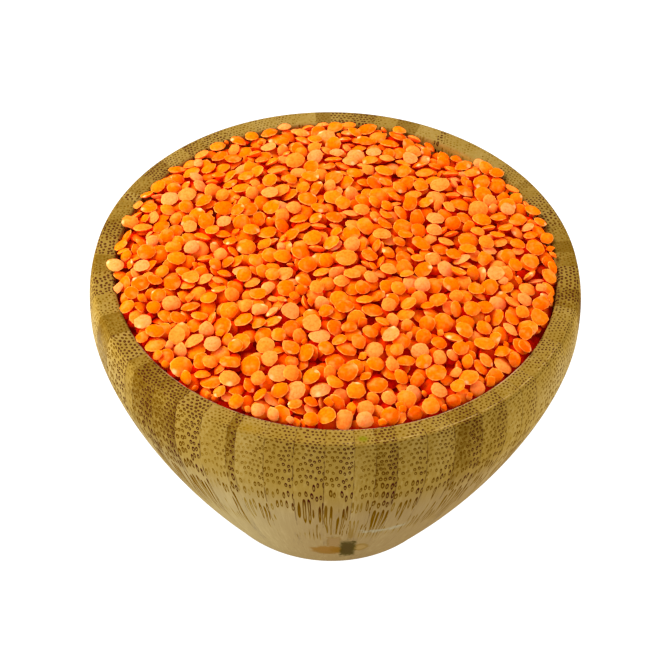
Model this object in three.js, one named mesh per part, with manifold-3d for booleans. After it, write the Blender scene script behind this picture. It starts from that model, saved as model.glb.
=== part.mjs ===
// Red lentils heaped in a laminated bamboo bowl.
// Millimetres, +Z up, the bowl's flat foot on z = 0 and its axis on the Z axis.
// Two separate pieces: the turned bowl, and the heap of dry lentils lying in it.

import * as THREE from 'three';
import { ConvexGeometry } from 'three/addons/geometries/ConvexGeometry.js';
import { mergeVertices } from 'three/addons/utils/BufferGeometryUtils.js';
import ManifoldModule from 'manifold-3d';

const kernel = await ManifoldModule();
kernel.setup();
const { Manifold, Mesh } = kernel;

// Bowl, outside
const BOWL_HEIGHT = 76.3;
const BOWL_RADIUS = 60.0; // at the widest ring, a little below the lip
const WIDEST_Z = 64.9;
const FOOT_RADIUS = 32.0;
const FLARE = 1.396; // how quickly the side opens out above the foot
const LIP_RADIUS = 58.5; // outer edge of the flat lip
const LIP_TUCK = 3.0; // how late the side turns in above the widest ring
const FOOT_EDGE = 0.9; // rounding where the side meets the foot
const LIP_EDGE = 0.45; // softened corners of the lip
const BOWL_SEGMENTS = 48;
const SIDE_STEPS = 7; // foot to widest ring
const TUCK_STEPS = 2; // widest ring to lip

// Bowl, inside
const MOUTH_RADIUS = 53.45; // inner edge of the flat lip
const FLOOR_Z = 9.0; // thickness of the bottom on the axis
const HOLLOW = 2.3; // fullness of the hollow; 2 is a plain ellipse
const HOLLOW_STEPS = 9;

// Heap of lentils
const GAP = 0.3; // clear space between the heap and the bowl
const HEAP_CROWN = 6.5; // top of the dome above the lip
const HEAP_EDGE = 2.6; // mean drop of the heap's edge below the lip
const HEAP_LEAN = 1.3; // the edge lies this much lower on one side
const HEAP_LEAN_TURN = 0.96; // direction of the low side, radians from +X
const HEAP_LUMP = 0.5; // height of the gentle waves over the dome
const CORE_DROP = 1.25; // the plain core lies this far under the grains' tops
const GRAIN_DROP = 1.05; // and the middle of each grain this far
const CORE_SEGMENTS = 36;
const CORE_TOP_STEPS = 7;
const CORE_SIDE_STEPS = 6;

// Lentils that show on the heap: split-husk discs with a lens section
const GRAINS = 250;
const GRAIN_RADIUS = 2.3;
const GRAIN_SPREAD = 0.2; // a grain's radius varies this much either way
const GRAIN_THICKNESS = 2.2;
const GRAIN_FACE = 0.55; // radius of the flattish middle, as a share
const GRAIN_SIDES = 6;
const GRAIN_TILT = 0.5; // radians, the steepest random lean
const GRAIN_RISE = 0.35; // a grain lies this much higher or lower than its neighbours
const GRAIN_JITTER = 0.35;
const GRAIN_ZONE = MOUTH_RADIUS - GRAIN_RADIUS - GRAIN_SPREAD - GAP - 0.1;
const GOLDEN_TURN = Math.PI * (3 - Math.sqrt(5));
const SEED = 4127;

// One lentil lies out over the lip
const LIP_GRAIN_TURN = Math.PI + 0.06;
const LIP_GRAIN_REACH = 53.2;
const LIP_GRAIN_LIFT = 1.45;

const BAMBOO = new THREE.MeshStandardMaterial({
  name: 'bamboo', color: 0xb59554, roughness: 0.45, metalness: 0,
});
const LENTIL = new THREE.MeshStandardMaterial({
  name: 'lentil', color: 0xee7a24, roughness: 0.55, metalness: 0,
});

// Repeatable random numbers from 0 to 1.
function seeded(seed) {
  let state = seed >>> 0;
  return () => {
    state = (state + 0x6d2b79f5) >>> 0;
    let t = Math.imul(state ^ (state >>> 15), state | 1);
    t ^= t + Math.imul(t ^ (t >>> 7), t | 61);
    return ((t ^ (t >>> 14)) >>> 0) / 4294967296;
  };
}

// Radius of the bowl's outside at height z.
function outerRadius(z) {
  if (z < WIDEST_Z) {
    return FOOT_RADIUS + (BOWL_RADIUS - FOOT_RADIUS) * (1 - (1 - z / WIDEST_Z) ** FLARE);
  }
  const tuck = ((z - WIDEST_Z) / (BOWL_HEIGHT - WIDEST_Z)) ** LIP_TUCK;
  return BOWL_RADIUS - (BOWL_RADIUS - LIP_RADIUS) * tuck;
}

// Radius of the bowl's hollow at height z.
function hollowRadius(z) {
  const depth = Math.min(1, (BOWL_HEIGHT - z) / (BOWL_HEIGHT - FLOOR_Z));
  return MOUTH_RADIUS * (1 - depth ** 2) ** (1 / HOLLOW);
}

// Height of the hollow's surface at a given radius.
function hollowHeight(radius) {
  const share = Math.min(1, radius / MOUTH_RADIUS);
  return BOWL_HEIGHT - (BOWL_HEIGHT - FLOOR_Z) * Math.sqrt(1 - share ** HOLLOW);
}

// Heap's surface: a shallow dome, lower on one side, with slow waves over it.
function heapHeight(x, y) {
  const share = Math.min(1, Math.hypot(x, y) / MOUTH_RADIUS);
  const turn = Math.atan2(y, x);
  const edge = HEAP_EDGE + HEAP_LEAN * Math.cos(turn - HEAP_LEAN_TURN);
  const dome = HEAP_CROWN - (HEAP_CROWN + edge) * share ** 2;
  const wave = Math.sin(x / 7 + 1.3) * Math.cos(y / 8 - 0.4) + 0.6 * Math.sin((x - y) / 11);
  return BOWL_HEIGHT + dome + HEAP_LUMP * wave;
}

// Closed body from a three.js geometry: shared corners joined, empty triangles dropped.
function bodyOf(geometry) {
  const plain = new THREE.BufferGeometry();
  plain.setAttribute('position', geometry.getAttribute('position'));
  if (geometry.index) {
    plain.setIndex(geometry.index);
  }
  const joined = mergeVertices(plain, 1e-4);
  const index = joined.index.array;
  const kept = [];
  for (let i = 0; i < index.length; i += 3) {
    const [a, b, c] = [index[i], index[i + 1], index[i + 2]];
    if (a !== b && b !== c && c !== a) {
      kept.push(a, b, c);
    }
  }
  return new Manifold(new Mesh({
    numProp: 3,
    vertProperties: new Float32Array(joined.getAttribute('position').array),
    triVerts: new Uint32Array(kept),
  }));
}

// Named mesh from a closed body.
function meshOf(name, body, material) {
  const data = body.getMesh();
  const geometry = new THREE.BufferGeometry();
  const corners = new Float32Array(data.vertProperties);
  geometry.setAttribute('position', new THREE.BufferAttribute(corners, 3));
  geometry.setIndex(new THREE.BufferAttribute(new Uint32Array(data.triVerts), 1));
  geometry.computeVertexNormals();
  const mesh = new THREE.Mesh(geometry, material);
  mesh.name = name;
  return mesh;
}

// Body turned about the Z axis from [radius, height] pairs running up the outside and
// back down the inside to the axis.
function turned(profile, segments) {
  const points = profile.map(([radius, height]) => new THREE.Vector2(radius, height));
  const lathe = new THREE.LatheGeometry(points, segments);
  lathe.rotateX(Math.PI / 2);
  return lathe;
}

function bowlProfile() {
  const profile = [[0, 0], [FOOT_RADIUS - FOOT_EDGE, 0]];
  const high = BOWL_HEIGHT - LIP_EDGE;
  for (let i = 0; i <= SIDE_STEPS; i += 1) {
    const z = FOOT_EDGE + (WIDEST_Z - FOOT_EDGE) * (i / SIDE_STEPS);
    profile.push([outerRadius(z), z]);
  }
  for (let i = 1; i <= TUCK_STEPS; i += 1) {
    const z = WIDEST_Z + (high - WIDEST_Z) * (i / TUCK_STEPS);
    profile.push([outerRadius(z), z]);
  }
  profile.push([LIP_RADIUS - LIP_EDGE, BOWL_HEIGHT]);
  profile.push([MOUTH_RADIUS + LIP_EDGE, BOWL_HEIGHT]);
  for (let i = 0; i < HOLLOW_STEPS; i += 1) {
    const share = Math.sin((i / HOLLOW_STEPS) * Math.PI / 2);
    const z = high - (high - FLOOR_Z) * share;
    profile.push([hollowRadius(z), z]);
  }
  profile.push([0, FLOOR_Z]);
  return profile;
}

function buildBowl() {
  return meshOf('bowl', bodyOf(turned(bowlProfile(), BOWL_SEGMENTS)), BAMBOO);
}

// Plain core of the heap, following the hollow below and the dome above.
function heapCore() {
  const rim = MOUTH_RADIUS - 2 * GAP;
  const low = hollowHeight(0) + 2 * GAP;
  const high = BOWL_HEIGHT - HEAP_EDGE - HEAP_LEAN - 3;
  const profile = [[0, low]];
  for (let i = 1; i <= CORE_SIDE_STEPS; i += 1) {
    const z = low + (high - low) * (i / CORE_SIDE_STEPS) ** 1.6;
    profile.push([hollowRadius(z) - 2 * GAP, z]);
  }
  for (let i = CORE_TOP_STEPS; i >= 0; i -= 1) {
    profile.push([(rim * i) / CORE_TOP_STEPS, BOWL_HEIGHT]);
  }
  const core = turned(profile, CORE_SEGMENTS);
  const spots = core.getAttribute('position');
  for (let i = 0; i < spots.count; i += 1) {
    if (spots.getZ(i) > BOWL_HEIGHT - 0.01) {
      spots.setZ(i, heapHeight(spots.getX(i), spots.getY(i)) - CORE_DROP);
    }
  }
  return bodyOf(core);
}

// One lentil of radius 1 and thickness 1: a six-sided disc with a smaller three-sided
// face above and below.
function grainShape() {
  const points = [];
  for (let i = 0; i < GRAIN_SIDES; i += 1) {
    const turn = (2 * Math.PI * i) / GRAIN_SIDES;
    points.push(new THREE.Vector3(Math.cos(turn), Math.sin(turn), 0));
    if (i % 2 === 0) {
      const x = GRAIN_FACE * Math.cos(turn);
      const y = GRAIN_FACE * Math.sin(turn);
      points.push(new THREE.Vector3(x, y, 0.5));
      points.push(new THREE.Vector3(x, y, -0.5));
    }
  }
  return new ConvexGeometry(points);
}

// A lentil set down at a point, leaning by `tilt` towards `heading`.
function grainAt(shape, centre, size, tilt, heading, spin) {
  const axis = new THREE.Vector3(-Math.sin(heading), Math.cos(heading), 0);
  const lean = new THREE.Quaternion().setFromAxisAngle(axis, tilt);
  const turn = new THREE.Quaternion().setFromAxisAngle(new THREE.Vector3(0, 0, 1), spin);
  const scale = new THREE.Vector3(size, size, GRAIN_THICKNESS);
  const place = new THREE.Matrix4().compose(centre, lean.multiply(turn), scale);
  return bodyOf(shape.clone().applyMatrix4(place));
}

// Lentils spread evenly over the heap on a sunflower spiral, each a little off its place.
function heapGrains(shape) {
  const random = seeded(SEED);
  const grains = [];
  for (let i = 0; i < GRAINS; i += 1) {
    const turn = i * GOLDEN_TURN + (random() - 0.5) * 0.02;
    const step = GRAIN_ZONE * Math.sqrt((i + 0.5) / GRAINS);
    const reach = Math.min(GRAIN_ZONE, step + (random() - 0.5) * 2 * GRAIN_JITTER);
    const x = reach * Math.cos(turn);
    const y = reach * Math.sin(turn);
    const rise = GRAIN_RISE * (2 * random() - 1);
    const z = heapHeight(x, y) - GRAIN_DROP + rise;
    const size = GRAIN_RADIUS + GRAIN_SPREAD * (2 * random() - 1);
    const tilt = GRAIN_TILT * random();
    const centre = new THREE.Vector3(x, y, z);
    grains.push(grainAt(shape, centre, size, tilt, 6.283 * random(), 6.283 * random()));
  }
  return grains;
}

// The lentil over the lip, and two under it that carry it from the heap.
function lipGrains(shape) {
  const top = BOWL_HEIGHT + LIP_GRAIN_LIFT;
  const grains = [];
  for (let i = 0; i < 3; i += 1) {
    const reach = LIP_GRAIN_REACH - 1.7 * Math.min(i, 2);
    const x = reach * Math.cos(LIP_GRAIN_TURN);
    const y = reach * Math.sin(LIP_GRAIN_TURN);
    const z = top - 1.1 * i;
    const tilt = -0.12 * i;
    grains.push(grainAt(shape, new THREE.Vector3(x, y, z), 2.25, tilt, LIP_GRAIN_TURN, 0.3));
  }
  return grains;
}

function buildHeap() {
  const shape = grainShape();
  const parts = [heapCore(), ...heapGrains(shape), ...lipGrains(shape)];
  const whole = Manifold.union(parts).simplify(0.06);
  const pieces = whole.decompose().sort((a, b) => b.volume() - a.volume());
  return meshOf('lentils', pieces[0], LENTIL);
}

const root = new THREE.Group();
root.name = 'lentil_bowl';
root.add(buildBowl());
root.add(buildHeap());

export default root;
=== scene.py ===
"""Dry red lentils heaped in a small bowl of laminated bamboo.

Sizes are in millimetres and are scaled to metres when a mesh is made. The bowl stands on
z = 0 with its axis on Z, and the viewer of the front stands on the -Y side. Angles round
the axis, called turns, start at the front and grow towards +X.
"""

import logging
import math
from collections.abc import Callable
from dataclasses import dataclass
from enum import Enum

import bpy
import numpy as np
from mathutils import Matrix, Vector


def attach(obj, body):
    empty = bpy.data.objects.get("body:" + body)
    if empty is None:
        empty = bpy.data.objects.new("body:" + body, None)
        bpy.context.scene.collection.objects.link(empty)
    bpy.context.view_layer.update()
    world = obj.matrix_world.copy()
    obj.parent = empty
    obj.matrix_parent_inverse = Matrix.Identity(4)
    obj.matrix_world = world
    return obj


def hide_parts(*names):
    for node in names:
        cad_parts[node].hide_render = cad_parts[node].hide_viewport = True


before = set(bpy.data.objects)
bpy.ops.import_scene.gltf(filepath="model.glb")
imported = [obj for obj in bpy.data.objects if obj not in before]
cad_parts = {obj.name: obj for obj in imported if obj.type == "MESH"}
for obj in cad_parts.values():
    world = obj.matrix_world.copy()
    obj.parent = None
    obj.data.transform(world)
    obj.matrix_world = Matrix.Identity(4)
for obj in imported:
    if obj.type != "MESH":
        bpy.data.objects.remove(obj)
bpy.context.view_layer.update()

LOG = logging.getLogger("lentil_bowl")
MM = 0.001
SEED = 20417
FULL_TURN = 2 * math.pi
OPAQUE_BLACK = (0.0, 0.0, 0.0, 1.0)
WHITE = (1.0, 1.0, 1.0, 1.0)

Colour = tuple[float, float, float, float]
Triple = tuple[float, float, float]
# Where a mask leaves 0 and where it reaches 1; the second may be the lower one.
Fade = tuple[float, float]


# --------------------------------------------------------------------------- mesh helpers


def linear(code: str) -> Colour:
    """Turn a colour written as six hexadecimal digits into linear values.

    It is the inverse of the sRGB curve: v / 12.92 up to 0.04045, and above that
    ((v + 0.055) / 1.055) to the power 2.4.

    Args:
        code: the colour as "rrggbb".

    Returns:
        Red, green, blue and an alpha of 1, as Blender's sockets take them.
    """
    parts = [int(code[i : i + 2], 16) / 255 for i in (0, 2, 4)]
    made = [p / 12.92 if p <= 0.04045 else ((p + 0.055) / 1.055) ** 2.4 for p in parts]
    return made[0], made[1], made[2], 1.0


def make_object(
    name: str, points: np.ndarray, quads: np.ndarray, tris: np.ndarray
) -> bpy.types.Object:
    """Make a smooth mesh object from arrays.

    Args:
        name: the object's name.
        points: corners in millimetres, one row each.
        quads: four corner numbers a row.
        tris: three corner numbers a row.

    Returns:
        The object, linked to the scene, at the origin and unturned.
    """
    mesh = bpy.data.meshes.new(name)
    loops = np.concatenate([quads.ravel(), tris.ravel()]).astype(np.int32)
    sizes = np.concatenate([np.full(len(quads), 4), np.full(len(tris), 3)]).astype(np.int32)
    starts = np.concatenate([[0], np.cumsum(sizes)[:-1]]).astype(np.int32)
    mesh.vertices.add(len(points))
    mesh.vertices.foreach_set("co", (points * MM).astype(np.float32).ravel())
    mesh.loops.add(len(loops))
    mesh.loops.foreach_set("vertex_index", loops)
    mesh.polygons.add(len(sizes))
    mesh.polygons.foreach_set("loop_start", starts)
    mesh.polygons.foreach_set("use_smooth", np.ones(len(sizes), dtype=bool))
    mesh.update(calc_edges=True)
    mesh.validate()
    made = bpy.data.objects.new(name, mesh)
    bpy.context.scene.collection.objects.link(made)
    return made


def store(mesh: bpy.types.Mesh, name: str, kind: str, domain: str, values: np.ndarray) -> None:
    """Store an attribute on a mesh.

    Args:
        mesh: the mesh to write to.
        name: the attribute's name.
        kind: FLOAT, FLOAT_VECTOR, FLOAT_COLOR or BOOLEAN.
        domain: POINT, CORNER or EDGE.
        values: one row for each point, corner or edge.
    """
    key = {"FLOAT_VECTOR": "vector", "FLOAT_COLOR": "color"}.get(kind, "value")
    plain = bool if kind == "BOOLEAN" else np.float32
    made = mesh.attributes.new(name, kind, domain)
    made.data.foreach_set(key, values.astype(plain).ravel())


def lathe_faces(rings: int, around: int) -> tuple[np.ndarray, np.ndarray]:
    """Number the faces of a turned body that is closed by a single point at each end.

    Corner 0 is the first end, then come the rings in order, and the last corner is the
    other end. Ring corners run with growing turn, and the section runs from the lower end
    outwards and up, which makes every face point outwards.

    Args:
        rings: how many rings lie between the two ends.
        around: how many corners each ring has.

    Returns:
        The quads between the rings, and the triangles at the two ends.
    """
    step = np.arange(around)
    after = (step + 1) % around
    base = 1 + np.arange(rings - 1)[:, None] * around
    quads = np.stack([base + step, base + after, base + around + after, base + around + step], -1)
    last = 1 + (rings - 1) * around
    start = np.stack([np.zeros_like(step), 1 + after, 1 + step], -1)
    end = np.stack([last + step, last + after, np.full_like(step, last + around)], -1)
    return quads.reshape(-1, 4), np.concatenate([start, end])


# ------------------------------------------------------------------------- shader helpers


@dataclass(frozen=True)
class Noise:
    """A layer of smooth noise.

    `scale` is how many features it has for each unit of place, `detail` how many finer
    layers are added and `rough` how strong these are.
    """

    scale: float
    detail: float = 2.0
    rough: float = 0.5


class Wire:
    """A shader output that takes part in Python arithmetic."""

    def __init__(self, graph: "Graph", socket: bpy.types.NodeSocket) -> None:
        """Keep the socket with the graph that it belongs to."""
        self.graph = graph
        self.socket = socket

    def __add__(self, other: "Wire | float") -> "Wire":
        """Add a value or another wire."""
        return self.graph.math("ADD", self, other)

    def __radd__(self, other: float) -> "Wire":
        """Add this wire to a value."""
        return self.graph.math("ADD", other, self)

    def __sub__(self, other: "Wire | float") -> "Wire":
        """Take a value or another wire away."""
        return self.graph.math("SUBTRACT", self, other)

    def __rsub__(self, other: float) -> "Wire":
        """Take this wire away from a value."""
        return self.graph.math("SUBTRACT", other, self)

    def __mul__(self, other: "Wire | float") -> "Wire":
        """Multiply by a value or another wire."""
        return self.graph.math("MULTIPLY", self, other)

    def __rmul__(self, other: float) -> "Wire":
        """Multiply a value by this wire."""
        return self.graph.math("MULTIPLY", other, self)

    def __truediv__(self, other: "Wire | float") -> "Wire":
        """Divide by a value or another wire."""
        return self.graph.math("DIVIDE", self, other)

    def __rtruediv__(self, other: float) -> "Wire":
        """Divide a value by this wire."""
        return self.graph.math("DIVIDE", other, self)


class Graph:
    """A material's node tree, built by calls that return wires."""

    def __init__(self, name: str) -> None:
        """Start an empty material.

        Args:
            name: the material's name.
        """
        self.material = bpy.data.materials.new(name)
        self.material.use_nodes = True
        self.tree = self.material.node_tree
        self.tree.nodes.clear()

    def node(self, kind: str, settings: dict, inputs: dict) -> bpy.types.Node:
        """Add one node.

        Args:
            kind: the node's type name.
            settings: properties, set before the inputs.
            inputs: socket name or number to a value or a wire.

        Returns:
            The node.
        """
        made = self.tree.nodes.new(kind)
        for key, value in settings.items():
            setattr(made, key, value)
        for key, value in inputs.items():
            socket = made.inputs[key]
            if isinstance(value, Wire):
                self.tree.links.new(value.socket, socket)
            else:
                socket.default_value = value
        return made

    def wire(self, kind: str, output: str | int, settings: dict, inputs: dict) -> Wire:
        """Add one node as `node` does and give its output of that name or number."""
        return Wire(self, self.node(kind, settings, inputs).outputs[output])

    def math(self, operation: str, *values: Wire | float, clamp: bool = False) -> Wire:
        """Add a Math node; `clamp` keeps its result between 0 and 1."""
        settings = {"operation": operation, "use_clamp": clamp}
        return self.wire("ShaderNodeMath", 0, settings, dict(enumerate(values)))

    def ramp(self, value: Wire, fade: Fade) -> Wire:
        """Rise smoothly from 0 to 1 while a value goes through a fade.

        Args:
            value: the value.
            fade: where the result leaves 0 and where it reaches 1.

        Returns:
            A number from 0 to 1.
        """
        rising = fade[0] <= fade[1]
        inputs = {
            "Value": value,
            "From Min": min(fade),
            "From Max": max(fade),
            "To Min": 0.0 if rising else 1.0,
            "To Max": 1.0 if rising else 0.0,
        }
        settings = {"interpolation_type": "SMOOTHSTEP"}
        return self.wire("ShaderNodeMapRange", 0, settings, inputs)

    def blend(
        self, factor: Wire, first: Wire | Colour, second: Wire | Colour, kind: str = "MIX"
    ) -> Wire:
        """Mix two colours; a factor of 0 gives the first and 1 the second."""
        settings = {"data_type": "RGBA", "blend_type": kind}
        return self.wire("ShaderNodeMix", 2, settings, {0: factor, 6: first, 7: second})

    def vector(self, x: Wire | float, y: Wire | float, z: Wire | float = 0.0) -> Wire:
        """Join three numbers into a vector."""
        return self.wire("ShaderNodeCombineXYZ", 0, {}, {0: x, 1: y, 2: z})

    def split(self, value: Wire) -> tuple[Wire, Wire, Wire]:
        """Take a vector apart into its three numbers."""
        made = self.node("ShaderNodeSeparateXYZ", {}, {0: value})
        return tuple(Wire(self, made.outputs[i]) for i in range(3))

    def attribute(self, name: str, output: str) -> Wire:
        """Read a mesh attribute through the output Color, Vector, Fac or Alpha."""
        return self.wire("ShaderNodeAttribute", output, {"attribute_name": name}, {})

    def position(self) -> Wire:
        """Give the place on the object, Object coordinates in millimetres."""
        inputs = {0: self.wire("ShaderNodeTexCoord", "Object", {}, {}), "Scale": 1 / MM}
        return self.wire("ShaderNodeVectorMath", 0, {"operation": "SCALE"}, inputs)

    def noise(self, place: Wire, layer: Noise) -> Wire:
        """Give smooth noise around 0.5, mostly from 0.2 to 0.8."""
        inputs = {"Scale": layer.scale, "Detail": layer.detail, "Roughness": layer.rough}
        return self.wire("ShaderNodeTexNoise", 0, {}, {"Vector": place, **inputs})

    def offset(self, place: Wire, layer: Noise) -> Wire:
        """Give smooth noise around 0, from about -0.3 to 0.3."""
        return self.noise(place, layer) - 0.5

    def patches(self, place: Wire, layer: Noise, fade: Fade) -> Wire:
        """Give a mask of soft patches, the noise as a fade lets it through."""
        return self.ramp(self.noise(place, layer), fade)

    def finish(
        self, shader: dict, height: Wire | None = None, depth: float = 0.0
    ) -> bpy.types.Material:
        """Close the graph with a Principled shader.

        Args:
            shader: socket name to a value or a wire.
            height: relief from 0 to 1, if the surface has any.
            depth: the relief's depth in millimetres.

        Returns:
            The finished material.
        """
        inputs = dict(shader)
        if height is not None:
            relief = {"Strength": 1.0, "Distance": depth * MM, "Height": height}
            inputs["Normal"] = self.wire("ShaderNodeBump", 0, {}, relief)
        surface = self.wire("ShaderNodeBsdfPrincipled", 0, {}, inputs)
        self.node("ShaderNodeOutputMaterial", {}, {"Surface": surface})
        return self.material


# -------------------------------------------------------------------------------- the bowl


@dataclass(frozen=True)
class BowlForm:
    """Sizes of the turned bowl, the solid's own but for rounder edges on the lip.

    The last five fields say how many points each stretch of the section has.
    """

    height: float = 76.3
    radius: float = 60.0
    widest_z: float = 64.9
    foot_radius: float = 32.0
    flare: float = 1.396
    lip_radius: float = 58.5
    lip_tuck: float = 3.0
    foot_edge: float = 0.9
    lip_edge: float = 0.8
    mouth_radius: float = 53.45
    floor_z: float = 9.0
    hollow: float = 2.3
    arc_points: int = 3
    foot_points: int = 9
    side_points: int = 56
    lip_points: int = 7
    hollow_points: int = 30

    def outside(self, z: np.ndarray) -> np.ndarray:
        """Radius of the outside at a height.

        Below the widest ring it is foot + (widest - foot) times 1 - (1 - z / widest_z) to
        the power `flare`; above that it falls to the lip with the power `lip_tuck` of the
        way there.

        Args:
            z: heights.

        Returns:
            Radii.
        """
        low = 1 - np.clip(1 - z / self.widest_z, 0, 1) ** self.flare
        side = self.foot_radius + (self.radius - self.foot_radius) * low
        share = np.clip((z - self.widest_z) / (self.height - self.widest_z), 0, 1)
        tuck = self.radius - (self.radius - self.lip_radius) * share**self.lip_tuck
        return np.where(z < self.widest_z, side, tuck)

    def inside(self, z: np.ndarray) -> np.ndarray:
        """Radius of the hollow at heights z, an ellipse a little fuller than plain.

        It is mouth_radius times (1 - d^2)^(1 / hollow), where d runs from 0 at the lip to 1
        at the floor.
        """
        depth = np.clip((self.height - z) / (self.height - self.floor_z), 0, 1)
        return self.mouth_radius * (1 - depth**2) ** (1 / self.hollow)

    def section(self) -> np.ndarray:
        """Half section from the middle of the foot, up the outside and down the hollow.

        The heel and the lip's two edges are quarter circles between the straight and the
        curved stretches.

        Returns:
            Rows of radius and height.
        """
        quarter = math.pi / 2
        arc = np.linspace(0, quarter, self.arc_points + 2)[1:-1]
        low, high, edge = self.foot_edge, self.height - self.lip_edge, self.lip_edge
        out_low, out_high = self.outside(np.array([low, high]))
        foot_r = self.foot_radius - self.foot_edge
        foot_in = np.linspace(0, foot_r, self.foot_points)
        foot = np.stack([foot_in, 0 * foot_in], -1)
        heel = np.stack([foot_r + (out_low - foot_r) * np.sin(arc), low * (1 - np.cos(arc))], -1)
        z = np.linspace(low, high, self.side_points)
        side = np.stack([self.outside(z), z], -1)
        lip_out = np.stack([out_high - edge * (1 - np.cos(arc)), high + edge * np.sin(arc)], -1)
        flat = np.linspace(out_high - edge, self.mouth_radius + edge, self.lip_points)
        lip = np.stack([flat, np.full_like(flat, self.height)], -1)
        in_r = self.mouth_radius + edge * (1 - np.sin(arc))
        lip_in = np.stack([in_r, high + edge * np.cos(arc)], -1)
        way = np.sin(np.linspace(0, quarter, self.hollow_points))
        down = high - (high - self.floor_z) * way
        hollow = np.stack([self.inside(down), down], -1)
        hollow[-1, 0] = 0.0
        return np.concatenate([foot, heel, side, lip_out, lip, lip_in, hollow])


class StaveWood(Enum):
    """The kinds of bamboo strip that the staves are cut from, by their letter."""

    PLAIN = "P"
    KHAKI = "K"
    BROWN = "B"
    FAINT = "F"
    RINGED = "R"
    COMB = "C"
    NET = "N"
    DENSE = "D"
    SMOKED = "S"


@dataclass(frozen=True)
class StaveLook:
    """How one kind of stave looks: how dark it is, its rings' strength and their spacing."""

    tone: float
    rings: float
    cell: float


STAVE_LOOKS = {
    StaveWood.PLAIN: StaveLook(tone=0.28, rings=0.22, cell=1.10),
    StaveWood.KHAKI: StaveLook(tone=0.74, rings=0.36, cell=1.10),
    StaveWood.BROWN: StaveLook(tone=0.98, rings=0.45, cell=1.05),
    StaveWood.FAINT: StaveLook(tone=0.36, rings=0.50, cell=1.10),
    StaveWood.RINGED: StaveLook(tone=0.42, rings=0.85, cell=1.24),
    StaveWood.COMB: StaveLook(tone=0.44, rings=1.35, cell=1.28),
    StaveWood.NET: StaveLook(tone=0.46, rings=0.90, cell=1.06),
    StaveWood.DENSE: StaveLook(tone=0.62, rings=1.35, cell=1.14),
    StaveWood.SMOKED: StaveLook(tone=0.80, rings=1.35, cell=1.12),
}


@dataclass(frozen=True)
class StaveLayout:
    """Which staves meet round the bowl, in order of turn from `start`.

    Each entry is the letter of its wood followed by its width in degrees. `slices` is how
    many columns of faces a stave has, and the spreads say how much staves of one kind differ.
    """

    start: float = -14.2
    front: str = "R6.5 R6.7 R6.4 F4.6 D4.8 R6.6 N6.5 S7.1"
    right: str = (
        "N7.0 F5.0 N5.0 F6.0 N7.0 N8.0 F4.0 S6.8 "
        "C8.0 K5.0 B4.0 K6.0 C6.0 N6.0 K6.0 N8.0"
    )
    back: str = (
        "P6.2 P6.0 P6.0 C2.0 P6.0 B6.0 K6.0 S6.0 "
        "C6.0 B4.0 P6.0 F5.0 F6.0 F8.0 C4.0 D3.0"
    )
    left: str = (
        "S6.0 N7.0 S7.0 K7.0 C3.0 K8.0 S6.0 C7.0 "
        "K6.0 C8.0 F7.0 K7.0 C9.0 K3.0 S7.0 S7.0"
    )
    close: str = "C6.8 F6.4 S2.0 F6.6"
    slices: int = 5
    tone_spread: float = 0.06
    rings_spread: float = 0.10
    rings_most: float = 1.2
    cell_spread: float = 0.05

    def entries(self) -> list[str]:
        """All staves in order, one short text for each."""
        return " ".join([self.front, self.right, self.back, self.left, self.close]).split()

    def seams(self) -> np.ndarray:
        """Turns of all seams; the widths are stretched a little so that they close.

        Returns:
            Turns in radians, one more than there are staves.
        """
        widths = np.array([float(entry[1:]) for entry in self.entries()])
        ends = np.concatenate([[0], np.cumsum(widths)]) / widths.sum() * 360
        return np.radians(self.start + ends)

    def looks(self, random: np.random.Generator) -> np.ndarray:
        """Look of each stave, with small differences between those of one kind.

        Args:
            random: source of the differences.

        Returns:
            Rows of tone, ring strength, cell size and a free number.
        """
        found = [STAVE_LOOKS[StaveWood(entry[0])] for entry in self.entries()]
        rows = np.array([[look.tone, look.rings, look.cell, 0.0] for look in found])
        count = len(rows)
        rows[:, 0] = np.clip(rows[:, 0] + random.normal(0, self.tone_spread, count), 0, 1)
        rings = rows[:, 1] * (1 + random.normal(0, self.rings_spread, count))
        rows[:, 1] = np.clip(rings, 0, self.rings_most)
        rows[:, 2] *= random.uniform(1 - self.cell_spread, 1 + self.cell_spread, count)
        rows[:, 3] = random.random(count)
        return rows


class Measure(Enum):
    """A measure of a place on the bowl that can bound a coat."""

    X = "place to the right"
    Y = "place to the back"
    Z = "height"
    FAR = "distance from the axis"
    FLANK = "0 on the front and the back, 1 on the two sides"


@dataclass(frozen=True)
class Spot:
    """The place on the bowl that is being shaded, as wires.

    Attributes:
        place: the place as a vector; x, y and z are its three numbers.
        far: distance from the axis.
        across: place across the stave.
        rise: place square to the fibres.
        along: place along the fibres.
        depth: depth below the stave's skin, square to the fibres; less than 0 on the lip.
        side: -1 on the stave's left seam and 1 on its right.
        tone: the stave's tone, 0 pale to 1 dark.
        rings: the stave's ring strength.
        cell: mean distance between the stave's bundles.
        free: a number from 0 to 1 that differs from stave to stave.
    """

    place: Wire
    x: Wire
    y: Wire
    z: Wire
    far: Wire
    across: Wire
    rise: Wire
    along: Wire
    depth: Wire
    side: Wire
    tone: Wire
    rings: Wire
    cell: Wire
    free: Wire

    def measured(self, measure: Measure) -> Wire:
        """Give one measure of the place.

        Args:
            measure: which one.

        Returns:
            Its value.
        """
        if measure is Measure.FLANK:
            return self.x.graph.math("ABSOLUTE", self.x) / self.far
        known = {
            Measure.X: self.x,
            Measure.Y: self.y,
            Measure.Z: self.z,
            Measure.FAR: self.far,
        }
        return known[measure]


# The noise that makes a mark's edge ragged, and how far it moves it.
SQUARE_EDGE = (Noise(0.9), 0.85)
ROUND_EDGE = (Noise(0.6), 0.7)


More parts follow.
